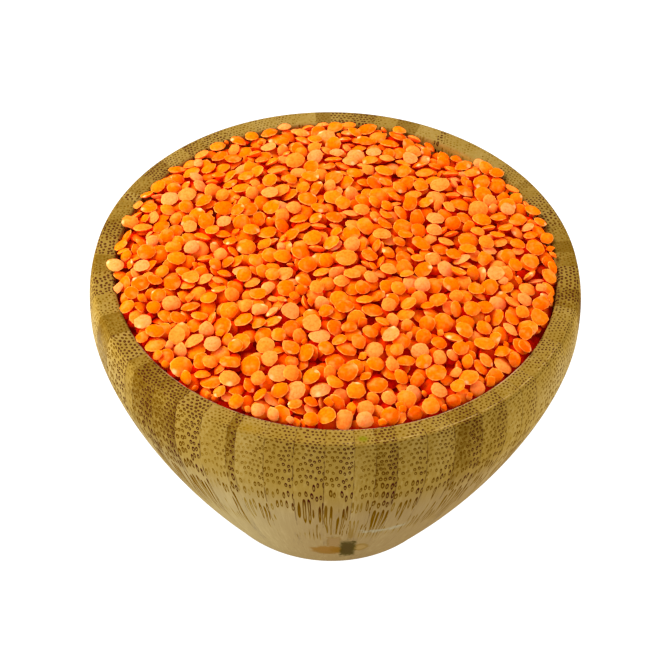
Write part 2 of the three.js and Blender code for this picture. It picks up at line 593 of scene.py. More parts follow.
@dataclass(frozen=True)
class Mark:
    """A stain on the bowl: a patch round a point, round or square in shape."""

    at: Triple
    size: Triple
    colour: str
    strength: float
    soft: float
    square: bool = False

    def lay(self, g: Graph, spot: Spot, colour: Wire) -> Wire:
        """Lay the stain over the colour, with a ragged edge.

        Args:
            g: the graph.
            spot: the place.
            colour: the colour so far.

        Returns:
            The stained colour.
        """
        inputs = {0: spot.place, 1: self.at}
        offset = g.wire("ShaderNodeVectorMath", 0, {"operation": "SUBTRACT"}, inputs)
        inputs = {0: offset, 1: tuple(1 / side for side in self.size)}
        scaled = g.wire("ShaderNodeVectorMath", 0, {"operation": "MULTIPLY"}, inputs)
        if self.square:
            wide, deep, high = [g.math("ABSOLUTE", part) for part in g.split(scaled)]
            far = g.math("MAXIMUM", wide, high) + g.math("MAXIMUM", deep - 1.0, 0.0)
            edge, ragged = SQUARE_EDGE
        else:
            far = g.wire("ShaderNodeVectorMath", "Value", {"operation": "LENGTH"}, {0: scaled})
            edge, ragged = ROUND_EDGE
        far = far + g.offset(spot.place, edge) * ragged
        cover = g.ramp(far, (1.0 + self.soft / 2, 1.0 - self.soft))
        return g.blend(cover * self.strength, colour, linear(self.colour))


MARKS = (
    Mark((1.7, -44.5, 27.2), (1.70, 9.0, 4.9), "7c5a14", 0.60, 0.25, square=True),
    Mark((1.8, -44.5, 26.7), (1.50, 9.0, 4.6), "8e7044", 0.90, 0.30, square=True),
    Mark((0.4, -42.0, 17.4), (4.5, 9.0, 5.4), "805814", 0.80, 0.30),
    Mark((0.2, -42.0, 18.2), (3.7, 9.0, 4.3), "8a622a", 0.80, 0.58),
    Mark((2.6, -42.0, 17.6), (2.0, 9.0, 4.6), "7c540c", 0.60, 0.74),
    Mark((8.3, -42.3, 19.6), (2.2, 9.0, 4.9), "80601c", 0.70, 0.30),
    Mark((8.4, -42.3, 19.3), (1.5, 9.0, 3.2), "9a7c46", 0.90, 0.50),
    Mark((5.7, -50.0, 34.0), (0.8, 9.0, 5.5), "7a5a18", 0.60, 0.60),
    Mark((5.2, -42.5, 18.4), (2.0, 9.0, 9.6), "403608", 0.90, 0.35, square=True),
    Mark((5.2, -42.5, 18.6), (1.6, 9.0, 8.2), "4e3c1c", 0.80, 0.62, square=True),
    Mark((7.3, -56.2, 76.3), (1.2, 0.9, 1.5), "6c6a00", 0.75, 0.90),
    Mark((-18.1, -54.4, 76.3), (3.0, 1.7, 1.5), "826006", 0.60, 0.90),
)


@dataclass(frozen=True)
class Coat:
    """A colour over a part of the bowl, which may be broken up into patches.

    `zone` gives the measures that bound it, each with the fade through which it comes in.
    """

    colour: Colour
    zone: tuple[tuple[Measure, Fade], ...]
    strength: float = 1.0
    kind: str = "MIX"
    patches: tuple[Noise, Fade] | None = None

    def lay(self, g: Graph, spot: Spot, colour: Wire) -> Wire:
        """Lay the coat over the colour.

        Args:
            g: the graph.
            spot: the place.
            colour: the colour so far.

        Returns:
            The coated colour.
        """
        cover = self.strength
        for measure, fade in self.zone:
            cover = g.ramp(spot.measured(measure), fade) * cover
        if self.patches:
            cover = cover * g.patches(spot.place, *self.patches)
        return g.blend(cover, colour, self.colour, self.kind)


FRONT = (Measure.Y, (10.0, -12.0))

# Painted sheen: pale grey reflected light is added to the wood lower down, and on the left
# and both flanks of the front half.
PAINTED_SHEENS = (
    Coat((0.006, 0.020, 0.046, 1.0), ((Measure.Z, (64.0, 44.0)),), kind="ADD"),
    Coat(
        (0.035, 0.05, 0.03, 1.0),
        ((Measure.X, (2.0, -22.0)), (Measure.Z, (74.0, 40.0)), FRONT),
        kind="ADD",
    ),
    Coat(
        (0.055, 0.065, 0.06, 1.0),
        ((Measure.FLANK, (0.70, 1.0)), (Measure.Z, (76.0, 68.0)), FRONT),
        kind="ADD",
    ),
)

# The upper part of the hollow is brighter where light comes back from the lentils.
HOLLOW = Coat(
    linear("a88c38"),
    (
        (Measure.FAR, (54.1, 53.5)),
        (Measure.Z, (75.9, 75.4)),
        (Measure.Z, (58.0, 62.0)),
    ),
    strength=0.75,
)

# Pale lines along the outer and the inner edge of the lip, part wear and part painted
# highlight.
OUTER_ARRIS = Coat(
    linear("c4a468"),
    (
        (Measure.FAR, (57.53, 57.70)),
        (Measure.FAR, (57.97, 57.80)),
        (Measure.Z, (75.6, 76.1)),
        (Measure.X, (-6.0, 12.0)),
        (Measure.Y, (-22.0, -32.0)),
    ),
    strength=0.36,
    patches=(Noise(0.5), (0.35, 0.6)),
)
INNER_ARRIS = Coat(
    linear("c8a48c"),
    (
        (Measure.FAR, (53.43, 53.70)),
        (Measure.FAR, (54.07, 53.80)),
        (Measure.Z, (75.7, 76.1)),
        (Measure.Y, (-24.0, -36.0)),
    ),
    strength=0.45,
    patches=(Noise(0.6), (0.3, 0.6)),
)


@dataclass(frozen=True)
class Scuff:
    """The thin whitish scuff low on the front, a level line that fades at its ends."""

    colour: str = "a8a284"
    strength: float = 0.55
    z: float = 34.6
    middle_x: float = 13.5
    bow: float = 0.055
    width: Fade = (2.1, 0.4)
    left: Fade = (6.8, 9.0)
    right: Fade = (20.5, 17.5)
    front: Fade = (0.0, -10.0)
    patches: Noise = Noise(0.7, 3.0)
    broken: Fade = (0.3, 0.62)

    def lay(self, g: Graph, spot: Spot, colour: Wire) -> Wire:
        """Draw the scuff over the colour; its height is z plus bow times (x - middle_x)^2.

        Args:
            g: the graph.
            spot: the place.
            colour: the colour so far.

        Returns:
            The scuffed colour.
        """
        off = spot.x - self.middle_x
        line = g.math("ABSOLUTE", spot.z - (off * off * self.bow + self.z))
        span = g.ramp(spot.x, self.left) * g.ramp(spot.x, self.right)
        shown = g.ramp(line, self.width) * span * g.ramp(spot.y, self.front)
        shown = shown * g.patches(spot.place, self.patches, self.broken)
        return g.blend(shown * self.strength, colour, linear(self.colour))


@dataclass(frozen=True)
class Fibres:
    """How the fibres of a stave run: they lean outwards from the axis and wander a little.

    The lean is in degrees from the level. Below `bend_z` the fibres bend with the square of
    the distance. Each noise is read at a place that `apart` carries to another part of it
    for each stave.
    """

    lean: float = 68.6
    lean_spread: float = 4.0
    bend_z: float = 44.0
    bend: float = -0.0020
    wander: Noise = Noise(0.22, 1.0)
    wander_squash: float = 0.5
    wander_apart: float = 91.0
    wander_size: float = 0.8
    shift: Noise = Noise(0.45, 1.0)
    shift_squash: float = 0.06
    shift_apart: float = 67.0
    shift_size: float = 0.9

    def spot(self, g: Graph) -> Spot:
        """Work out the place on the bowl with respect to the stave and its fibres.

        With the lean l, and the reach being the place along the stave's own facing, the
        place along the fibres is reach * cos l + z * sin l and the place square to them is
        z * cos l - reach * sin l. The depth is counted from the outer edge of the lip.

        Args:
            g: the graph.

        Returns:
            The place.
        """
        place = g.position()
        x, y, z = g.split(place)
        facing_x, facing_y, _ = g.split(g.attribute("stave_facing", "Vector"))
        tone, rings, cell = g.split(g.attribute("stave_look", "Color"))
        free = g.attribute("stave_look", "Alpha")
        reach = x * facing_x + y * facing_y
        across = y * facing_x - x * facing_y
        lean = math.radians(self.lean) + (free - 0.5) * math.radians(self.lean_spread)
        sine, cosine = g.math("SINE", lean), g.math("COSINE", lean)
        along = reach * cosine + z * sine
        rise = z * cosine - reach * sine
        squash = self.wander_squash
        low_place = g.vector(reach * squash, z * squash, free * self.wander_apart)
        long_place = g.vector(across, along * self.shift_squash, free * self.shift_apart)
        below = g.math("MINIMUM", z - self.bend_z, 0.0)
        bent = below * below * self.bend
        bent = bent + g.offset(low_place, self.wander) * self.wander_size
        bent = bent + g.offset(long_place, self.shift) * self.shift_size
        start = cosine * BowlForm.height - sine * (BowlForm.lip_radius - BowlForm.lip_edge)
        return Spot(
            place=place,
            x=x,
            y=y,
            z=z,
            far=g.math("SQRT", x * x + y * y),
            across=across,
            rise=rise,
            along=along,
            depth=start - rise - bent,
            side=g.attribute("stave_side", "Fac"),
            tone=tone,
            rings=rings,
            cell=cell,
            free=free,
        )


@dataclass(frozen=True)
class Bundles:
    """The vascular bundles, tubes along the fibres, and the rings that show where they are cut.

    Rows are `first_row` apart at the stave's skin, grow wider apart by `row_growth` for each
    unit of depth, and are `lip_row` apart on the lip; these hold for a stave whose cell is
    `row_cell`. In a row the bundles are a cell apart, less on the lip and low on the side,
    where they are also cut thinner. Sizes of a ring and its core are shares of a cell.
    """

    first_row: float = 0.60
    row_growth: float = 0.036
    lip_row: float = 0.88
    row_cell: float = 1.24
    fineness: float = 0.14
    fine_depth: Fade = (-0.5, 2.5)
    closer: float = 0.26
    closer_z: Fade = (46.0, 36.0)
    fan: float = 0.08
    stagger: float = 0.5
    apart: float = 53.0
    scatter: float = 0.40
    thin: float = 0.3
    thin_z: Fade = (48.0, 36.0)
    thinner: float = 0.5
    thinner_z: Fade = (42.0, 28.0)
    size: float = 0.255
    size_spread: float = 0.08
    size_deep: float = 0.02
    size_depth: Fade = (-0.4, 1.5)
    size_strong: float = 0.06
    strong: Fade = (0.85, 1.25)
    rim: Fade = (0.03, -0.04)
    core: Fade = (0.60, 0.25)
    core_drop: float = 0.05
    core_open: float = 0.40
    core_deep: float = 0.50
    core_depth: Fade = (0.5, 3.0)
    heavy: Fade = (-0.7, 0.8)
    heavy_spread: float = 0.6
    light_share: float = 0.42
    heavy_share: float = 0.6
    strength_spread: float = 0.25
    shown: Fade = (0.02, 0.25)
    low_z: Fade = (25.0, 42.0)
    lip_z: Fade = (75.4, 76.0)
    lip_gain: float = 0.4

    def cut(self, g: Graph, spot: Spot) -> tuple[Wire, Wire]:
        """Cut across the bundles: a dark ring with a lighter core in each cell.

        The rows are counted from the outer edge of the lip. Down the side the number of the
        row at the depth d is ln(1 + d * growth / first) / growth. Each row is set off by
        half a cell, and a Voronoi pattern scatters the middles.

        Args:
            g: the graph.
            spot: the place.

        Returns:
            The ring pattern from 0 to 1, and how dark the rings are here.
        """
        under = g.math("MAXIMUM", spot.depth, 0.0)
        over = g.math("MINIMUM", spot.depth, 0.0)
        grown = g.math("LOGARITHM", under * (self.row_growth / self.first_row) + 1.0, math.e)
        rows = grown * (-1.0 / self.row_growth) - over / self.lip_row
        up = rows * (self.row_cell / spot.cell)
        fine = g.ramp(spot.depth, self.fine_depth) * self.fineness + (1.0 - self.fineness)
        pace = spot.cell * (fine - g.ramp(spot.z, self.closer_z) * self.closer)
        right = spot.across * (1.0 + spot.side * self.fan) / pace
        right = right + up * self.stagger + spot.free * self.apart
        settings = {"voronoi_dimensions": "2D", "feature": "F1"}
        inputs = {"Vector": g.vector(right, up), "Scale": 1.0, "Randomness": self.scatter}
        cells = g.node("ShaderNodeTexVoronoi", settings, inputs)
        chance = g.split(Wire(g, cells.outputs["Color"]))[0] - 0.5
        at_right, at_up, _ = g.split(Wire(g, cells.outputs["Position"]))
        high = up - at_up
        narrow = 1.0 + g.ramp(spot.z, self.thin_z) * self.thin
        narrow = narrow + g.ramp(spot.z, self.thinner_z) * self.thinner
        wide = (right - at_right - high * self.stagger) * narrow
        pattern = self._ring(g, spot, wide, high, chance)
        heavy = g.ramp(spot.side + (spot.free - 0.5) * self.heavy_spread, self.heavy)
        mean = spot.rings * (self.light_share + heavy * self.heavy_share)
        strength = g.math("ADD", mean, chance * self.strength_spread, clamp=True)
        strength = strength * g.ramp(spot.rings, self.shown) * g.ramp(spot.z, self.low_z)
        return pattern, strength * (g.ramp(spot.z, self.lip_z) * self.lip_gain + 1.0)

    def _ring(self, g: Graph, spot: Spot, wide: Wire, high: Wire, chance: Wire) -> Wire:
        """Draw one ring round a bundle's middle; its core is clearer deeper down the side.

        Args:
            g: the graph.
            spot: the place.
            wide: distance from the middle across the stave.
            high: distance from the middle along the rows.
            chance: a number around 0 that differs from bundle to bundle.

        Returns:
            The ring's mask.
        """
        size = chance * self.size_spread + self.size
        size = size + g.ramp(spot.depth, self.size_depth) * self.size_deep
        size = size + g.ramp(spot.rings, self.strong) * self.size_strong
        far = g.math("SQRT", wide * wide + high * high)
        inside = high + self.core_drop
        near = g.math("SQRT", wide * wide + inside * inside)
        rim = g.ramp(far - size, self.rim)
        core = g.ramp(near / size, self.core)
        clear = self.core_open + g.ramp(spot.depth, self.core_depth) * self.core_deep
        return rim * (1.0 - core * clear)


@dataclass(frozen=True)
class BambooFinish:
    """Satin varnished bamboo, as a solid texture that runs right through each stave.

    Each vascular bundle is a tube along the fibres, so it shows as a small ring on the lip
    and on the upper side, where the cut crosses it, and as a long streak lower down, where
    the side runs along it. The painted sheens lie under the rings, and the wear, with the
    pale edge lines that are part wear and part painted highlight, lies over them.
    """

    fibres: Fibres = Fibres()
    bundles: Bundles = Bundles()
    painted_sheens: tuple[Coat, ...] = PAINTED_SHEENS
    hollow: Coat = HOLLOW
    wear_and_highlights: tuple[Coat | Mark | Scuff, ...] = (OUTER_ARRIS, INNER_ARRIS, *MARKS, Scuff())

    pale: str = "a28646"
    middle: str = "92742f"
    dark: str = "6c4e12"
    tone_middle: float = 0.42
    tone_kept: float = 0.25
    tone_z: Fade = (46.0, 70.0)
    grain: Noise = Noise(1.6, 3.0, 0.6)
    grain_squash: float = 0.05
    grain_apart: float = 31.0
    grain_size: float = 0.95
    cloud: Noise = Noise(0.16, 1.0)
    cloud_squash: float = 0.3
    cloud_apart: float = 17.0
    cloud_size: float = 0.6

    end_front: str = "684c12"
    end_back: str = "785e2c"
    end_y: Fade = (0.0, 40.0)
    end_z: Fade = (75.5, 76.2)
    end_strength: float = 0.33
    end_more: float = 0.15
    end_more_y: Fade = (-20.0, 20.0)

    ring: str = "5a3800"
    ring_dark: str = "3a060a"
    ring_darkens: Fade = (0.5, 0.95)
    ring_covers: Fade = (-0.02, 0.5)
    streak: str = "684600"
    streak_z: Fade = (58.0, 44.0)
    halo: Colour = (0.98, 0.92, 0.45, 1.0)
    halo_fade: Fade = (0.0, 0.4)

    seam: str = "4a2a10"
    seam_strength: float = 0.65
    seam_side: Fade = (0.94, 0.985)
    seam_y: Fade = (-12.0, -40.0)
    seam_z: Fade = (34.0, 52.0)
    seam_low: float = 0.25
    seam_patches: Noise = Noise(0.35, 1.0)
    seam_broken: Fade = (0.35, 0.6)

    roughness: float = 0.42
    ring_roughness: float = 0.12
    dull: Noise = Noise(0.8)
    dull_size: float = 0.15
    ring_relief: float = 0.7
    seam_relief: float = 0.6
    relief: float = 0.04

    def material(self) -> bpy.types.Material:
        """Build the material.

        Returns:
            The bamboo material.
        """
        g = Graph("bamboo")
        spot = self.fibres.spot(g)
        ring, strength = self.bundles.cut(g, spot)
        gap = self._gap(g, spot)
        colour = self._ground(g, spot)
        # Painted sheen, laid under the rings.
        for sheen in self.painted_sheens:
            colour = sheen.lay(g, spot, colour)
        colour = self.hollow.lay(g, spot, self._ends(g, spot, colour))
        colour = self._ringed(g, spot, colour, ring, strength)
        uneven = g.patches(spot.place, self.seam_patches, self.seam_broken)
        colour = g.blend(gap * uneven * self.seam_strength, colour, linear(self.seam))
        # Stains and the scuff, and the lip's edge lines, which are part wear and part painted
        # highlight.
        for worn_and_lit in self.wear_and_highlights:
            colour = worn_and_lit.lay(g, spot, colour)
        height = 1.0 - ring * strength * self.ring_relief - gap * self.seam_relief
        rough = self.roughness + ring * self.ring_roughness
        rough = rough + g.offset(spot.place, self.dull) * self.dull_size
        shader = {
            "Base Color": colour,
            "Roughness": rough,
            "Specular IOR Level": 0.0,
        }
        return g.finish(shader, height, self.relief)

    def _ground(self, g: Graph, spot: Spot) -> Wire:
        """Colour of the pith between the bundles, streaked along the fibres.

        Low on the side the staves' tones draw together.

        Args:
            g: the graph.
            spot: the place.

        Returns:
            The colour.
        """
        kept = self.tone_kept + g.ramp(spot.z, self.tone_z) * (1.0 - self.tone_kept)
        tone = (spot.tone - self.tone_middle) * kept + self.tone_middle
        fine_x = spot.across + spot.free * self.grain_apart
        wide_x = spot.across + spot.free * self.cloud_apart
        fine = g.vector(fine_x, spot.rise, spot.along * self.grain_squash)
        wide = g.vector(wide_x, spot.rise, spot.along * self.cloud_squash)
        streaked = tone + g.offset(fine, self.grain) * self.grain_size
        clouded = g.offset(wide, self.cloud) * self.cloud_size
        level = g.math("ADD", streaked, clouded, clamp=True)
        light = g.blend(g.ramp(level, (0.0, 0.5)), linear(self.pale), linear(self.middle))
        return g.blend(g.ramp(level, (0.5, 1.0)), light, linear(self.dark))

    def _ends(self, g: Graph, spot: Spot, colour: Wire) -> Wire:
        """Tone the cut ends of the staves on the lip, warmer in front and paler at the back.

        Args:
            g: the graph.
            spot: the place.
            colour: the colour so far.

        Returns:
            The toned colour.
        """
        ends = g.blend(g.ramp(spot.y, self.end_y), linear(self.end_front), linear(self.end_back))
        toning = g.ramp(spot.y, self.end_more_y) * self.end_more + self.end_strength
        return g.blend(g.ramp(spot.z, self.end_z) * toning, colour, ends)

    def _ringed(self, g: Graph, spot: Spot, colour: Wire, ring: Wire, strength: Wire) -> Wire:
        """Colour the rings and streaks, each with a darker halo round it.

        Args:
            g: the graph.
            spot: the place.
            colour: the colour so far.
            ring: the ring pattern.
            strength: how dark the rings are here.

        Returns:
            The colour with the rings.
        """
        darkness = g.ramp(strength, self.ring_darkens)
        deep = g.blend(darkness, linear(self.ring), linear(self.ring_dark))
        tint = g.blend(g.ramp(spot.z, self.streak_z), deep, linear(self.streak))
        cover = ring * g.ramp(strength, self.ring_covers)
        haloed = g.blend(g.ramp(cover, self.halo_fade), colour, self.halo, "MULTIPLY")
        return g.blend(cover, haloed, tint)

    def _gap(self, g: Graph, spot: Spot) -> Wire:
        """Mask of the glued seams, which show on the front and fade towards the foot.

        Args:
            g: the graph.
            spot: the place.

        Returns:
            A number from 0 to 1.
        """
        gap = g.ramp(g.math("ABSOLUTE", spot.side), self.seam_side) * g.ramp(spot.y, self.seam_y)
        return gap * (g.ramp(spot.z, self.seam_z) * (1.0 - self.seam_low) + self.seam_low)


@dataclass
class Bowl:
    """The turned bowl, glued up from upright staves."""

    form: BowlForm = BowlForm()
    layout: StaveLayout = StaveLayout()
    finish: BambooFinish = BambooFinish()

    def build(self, random: np.random.Generator) -> bpy.types.Object:
        """Make the bowl and dress it.

        Args:
            random: source of the small differences between staves.

        Returns:
            The bowl.
        """
        seams = self.layout.seams()
        looks = self.layout.looks(random)
        slices = self.layout.slices
        share = np.arange(slices) / slices
        turns = (seams[:-1, None] + np.diff(seams)[:, None] * share).ravel()
        section = self.form.section()
        rings = section[1:-1]
        radius, height = rings[:, :1], rings[:, 1:]
        ring_points = np.stack(
            [radius * np.sin(turns), -radius * np.cos(turns), height + 0 * turns], -1
        ).reshape(-1, 3)
        first = np.array([[0.0, 0.0, section[0, 1]]])
        last = np.array([[0.0, 0.0, section[-1, 1]]])
        points = np.concatenate([first, ring_points, last])
        quads, tris = lathe_faces(len(rings), len(turns))
        made = make_object("bowl_bamboo", points, quads, tris)
        self._mark_staves(made.data, seams, looks, len(rings))
        made.data.materials.append(self.finish.material())
        return made

    def _mark_staves(
        self, mesh: bpy.types.Mesh, seams: np.ndarray, looks: np.ndarray, rings: int
    ) -> None:
        """Store on each face corner which stave it belongs to.

        Args:
            mesh: the bowl's mesh, with faces in the order of lathe_faces.
            seams: turns of the seams.
            looks: one row for each stave.
            rings: how many rings the section has.
        """
        slices = self.layout.slices
        staves = len(seams) - 1
        column = np.arange(staves * slices)
        left = (column % slices) / slices * 2 - 1
        right = left + 2 / slices
        quad_side = np.tile(np.stack([left, right, right, left], -1), (rings - 1, 1, 1))
        start_side = np.stack([(left + right) / 2, right, left], -1)
        end_side = np.stack([left, right, (left + right) / 2], -1)
        side = np.concatenate([quad_side.ravel(), start_side.ravel(), end_side.ravel()])
        stave = column // slices
        owner = np.concatenate(
            [np.repeat(np.tile(stave, rings - 1), 4), np.repeat(np.tile(stave, 2), 3)]
        )
        middle = (seams[:-1] + seams[1:]) / 2
        facing = np.stack([np.sin(middle), -np.cos(middle), 0 * middle], -1)
        store(mesh, "stave_side", "FLOAT", "CORNER", side)
        store(mesh, "stave_facing", "FLOAT_VECTOR", "CORNER", facing[owner])
        store(mesh, "stave_look", "FLOAT_COLOR", "CORNER", looks[owner])


# -------------------------------------------------------------------------------- the heap


@dataclass(frozen=True)
class HeapForm:
    """Sizes of the heap's surface: a shallow dome with slow waves and an uneven edge.

    Each row of `edge` gives a turn in degrees, how high the heap's edge stands above the lip
    there, and how far past the mouth a lentil may reach. A wave is given by the distance in
    which it goes through one radian, and by where it starts in radians.
    """

    crown: float = 6.6
    edge: tuple[Triple, ...] = (
        (0, 0.9, 0.3),
        (85, 0.9, 0.4),
        (112, 1.2, 1.0),
        (137, 1.2, 1.1),
        (143, -1.3, 0.0),
        (152, -1.3, 0.0),
        (160, 0.8, 0.6),
        (185, 0.5, 0.5),
        (215, 1.0, 0.9),
        (290, 1.1, 1.0),
        (308, 1.0, 0.5),
        (360, 0.9, 0.3),
    )
    lump: float = 0.5
    wave_x: float = 7.0
    wave_x_start: float = 1.3
    wave_y: float = 8.0
    wave_y_start: float = -0.4
    skew_wave: float = 11.0
    skew_size: float = 0.6
    core_drop: float = 5.2

    def height(self, bowl: BowlForm, x: np.ndarray, y: np.ndarray) -> np.ndarray:
        """Height of the heap's surface.

        It is the lip's height plus a crown that falls with the square of the distance from
        the axis to the edge's height, plus two slow waves that die out at the edge.

        Args:
            bowl: the bowl it lies in.
            x: places to the right.
            y: places to the back.

        Returns:
            Heights.
        """
        share = np.minimum(1, np.hypot(x, y) / bowl.mouth_radius)
        dome = self.crown - (self.crown - self._along_edge(x, y, 1)) * share**2
        wave_x = np.sin(x / self.wave_x + self.wave_x_start)
        wave_y = np.cos(y / self.wave_y + self.wave_y_start)
        wave = wave_x * wave_y + self.skew_size * np.sin((x - y) / self.skew_wave)
        return bowl.height + dome + self.lump * wave * (1 - share**4)

    def reach(self, bowl: BowlForm, x: np.ndarray, y: np.ndarray) -> np.ndarray:
        """How far from the axis the lentils may lie at places x and y."""
        return bowl.mouth_radius + self._along_edge(x, y, 2)

    def _along_edge(self, x: np.ndarray, y: np.ndarray, column: int) -> np.ndarray:
        """Read one column of the table `edge` at the turns of places x and y."""
        table = np.array(self.edge)
        return np.interp(np.degrees(np.arctan2(x, -y)) % 360, table[:, 0], table[:, column])


class LentilKind(Enum):
    """The kinds of lentil in the heap."""

    ROUND = "round"
    SMALL = "small"
    FLATTED = "flatted"
    CHIPPED = "chipped"
    SPLIT = "split"
    CRUMB = "crumb"


@dataclass(frozen=True)
class LentilShape:
    """Size and outline of one kind of lentil.

    `flats` straight cuts trim the round outline; each stands off the middle by a share of
    the radius between `cut_low` and `cut_high`. `under` is the belly's share of the back's
    height, so that a split one has a flat side.
    """

    share: float
    radius: float
    spread: float
    thickness: float
    flats: int
    cut_low: float
    cut_high: float
    under: float = 1.0


LENTIL_SHAPES = {
    LentilKind.ROUND: LentilShape(0.24, 2.38, 0.30, 1.58, 5, 0.92, 1.02),
    LentilKind.SMALL: LentilShape(0.19, 1.88, 0.26, 1.44, 4, 0.90, 1.02),
    LentilKind.FLATTED: LentilShape(0.26, 2.25, 0.32, 1.46, 6, 0.83, 0.96),
    LentilKind.CHIPPED: LentilShape(0.12, 2.15, 0.28, 1.46, 2, 0.62, 0.88),
    LentilKind.SPLIT: LentilShape(0.12, 2.05, 0.30, 1.05, 3, 0.88, 1.00, under=0.25),
    LentilKind.CRUMB: LentilShape(0.07, 1.30, 0.32, 0.95, 4, 0.55, 0.90, under=0.5),
}


@dataclass(frozen=True)
class Stray:
    """A lentil that lies out over the lip: its place, radius, lean, heading and thickness."""

    x: float
    y: float
    radius: float
    lean: float
    heading: float = 0.4
    thickness: float = 1.6


STRAYS = (Stray(-51.6, -7.3, 1.7, 0.3), Stray(-53.0, -5.2, 2.3, 0.12))


@dataclass(frozen=True)
class LentilFinish:
    """Dry husked lentil: matt flesh with a fine mottle, a pale margin that is part wear and part
    painted highlight, and a cream scar that is also a painted glint.

    The attribute tint holds the lentil's own colour, and its alpha says how low a place lies
    among the others: there the colour gets painted shade, darker and redder, and a faint red
    emission paints a glow. A paler bloom in patches also paints a soft sheen. The attribute
    lentil_face holds the place on the lentil's own disc, 1 at the margin, and a number from 0
    to 1 that differs from lentil to lentil.
    """

    roughness: float = 0.38
    glow: float = 0.05
    glow_reach: float = 0.6
    glow_colour: Triple = (1.0, 0.3, 0.05)
    apart: float = 91.0
    pores: Noise = Noise(1.6)
    pore_depth: float = 0.10

    mottled: str = "ffb428"
    mottle: Noise = Noise(1.5, 3.0, 0.6)
    mottle_fade: Fade = (0.62, 0.3)
    mottle_strength: float = 0.55
    # A paler bloom in patches, which also paints a soft sheen.
    bloom_and_sheen: str = "ff8e3c"
    bloom_and_sheen_patches: Noise = Noise(0.5)
    bloom_and_sheen_fade: Fade = (0.48, 0.72)
    bloom_and_sheen_strength: float = 0.5
    # A pale margin, part wear and part painted highlight on the lentil's edge.
    margin: str = "ffac4a"
    margin_out: Fade = (0.88, 0.99)
    margin_patches: Noise = Noise(0.8, 1.0)
    margin_fade: Fade = (0.3, 0.65)
    margin_strength: float = 0.85
    # A cream scar, which also serves as a painted glint.
    scar_and_glint: str = "ffc888"
    scar_and_glint_out: float = 0.84
    scar_and_glint_squash: float = 1.7
    scar_and_glint_ragged: float = 0.25
    scar_and_glint_near: Fade = (0.42, 0.06)
    scar_and_glint_shown: Fade = (0.6, 0.95)
    scar_and_glint_strength: float = 0.65

    # Painted shade: shade_amber and shade darken and redden the low places between the lentils;
    # deep is a faint red emission that paints a glow in the lowest ones.
    shade_amber: Colour = (0.88, 0.95, 0.08, 1.0)
    shade_amber_low: Fade = (0.0, 0.4)
    shade: Colour = (0.74, 0.050, 0.0, 1.0)
    deep: Colour = (0.05, 0.0004, 0.0, 1.0)

    def material(self) -> bpy.types.Material:
        """Build the material.

        Returns:
            The lentil material.
        """
        g = Graph("lentil")
        tint, low = g.attribute("tint", "Color"), g.attribute("tint", "Alpha")
        face_x, face_y, free = g.split(g.attribute("lentil_face", "Vector"))
        inputs = {0: g.position(), 1: g.vector(free * self.apart, 0.0)}
        own = g.wire("ShaderNodeVectorMath", 0, {"operation": "ADD"}, inputs)
        mottle = g.noise(own, self.mottle)
        colour = self._skin(g, tint, own, mottle)
        out = g.math("SQRT", face_x * face_x + face_y * face_y)
        # Pale margin, part wear and part painted highlight on the lentil's edge.
        worn_and_lit = g.patches(own, self.margin_patches, self.margin_fade) * self.margin_strength
        colour = g.blend(g.ramp(out, self.margin_out) * worn_and_lit, colour, linear(self.margin))
        # Cream scar, which also serves as a painted glint.
        off = face_x - self.scar_and_glint_out
        near = g.math("SQRT", off * off * self.scar_and_glint_squash + face_y * face_y)
        near = near + (mottle - 0.5) * self.scar_and_glint_ragged
        scarred_and_glinting = g.ramp(near, self.scar_and_glint_near) * g.ramp(free, self.scar_and_glint_shown)
        colour = g.blend(scarred_and_glinting * self.scar_and_glint_strength, colour, linear(self.scar_and_glint))
        # Painted shade between the lentils, the stronger the lower the place lies.
        colour = g.blend(g.ramp(low, self.shade_amber_low), colour, self.shade_amber, "MULTIPLY")
        colour = g.blend(low, colour, self.shade, "MULTIPLY")
        shader = {
            "Base Color": colour,
            "Roughness": self.roughness,
            "Specular IOR Level": 0.0,
            # Painted glow: a faint red emission in the lowest places.
            "Emission Color": g.blend(low * low, OPAQUE_BLACK, self.deep),
            "Emission Strength": 1.0,
            "Subsurface Weight": self.glow,
            "Subsurface Radius": self.glow_colour,
            "Subsurface Scale": self.glow_reach * MM,
        }
        return g.finish(shader, g.noise(own, self.pores), self.pore_depth)

    def _skin(self, g: Graph, tint: Wire, own: Wire, mottle: Wire) -> Wire:
        """Mottle the lentil's tint; lay a paler bloom, also a painted sheen, over parts of it.

        Args:
            g: the graph.
            tint: the lentil's colour.
            own: place, carried apart for each lentil.
            mottle: the fine noise.

        Returns:
            The colour.
        """
        spotted = g.ramp(mottle, self.mottle_fade) * self.mottle_strength
        shade = g.blend(spotted, tint, linear(self.mottled), "MULTIPLY")
        # Paler bloom in patches, which also paints a soft sheen.
        bloom_and_sheen = g.patches(own, self.bloom_and_sheen_patches, self.bloom_and_sheen_fade) * self.bloom_and_sheen_strength
        return g.blend(bloom_and_sheen, shade, linear(self.bloom_and_sheen))


@dataclass
class Batch:
    """Sizes and places of all the lentils, one row each, in the order in which they fell.

    `pale` marks the one that lies on the lip.
    """

    kinds: np.ndarray
    radius: np.ndarray
    thickness: np.ndarray
    centre: np.ndarray
    tilt: np.ndarray
    heading: np.ndarray
    pale: np.ndarray


# Grid rows and columns round each spot, the lentil's upper face over them, and where it is.
Faces = tuple[np.ndarray, np.ndarray, np.ndarray, np.ndarray]


@dataclass(frozen=True)
class Rest:
    """One way in which a lentil can come to rest.

    `depth` says how good it is and `room` how far its top stays under the highest that is
    allowed. `place` holds x, y, z, lean and heading; `faces` and `pick` say what it covers.
    """

    depth: float
    room: float
    place: list[float]
    faces: Faces
    pick: int


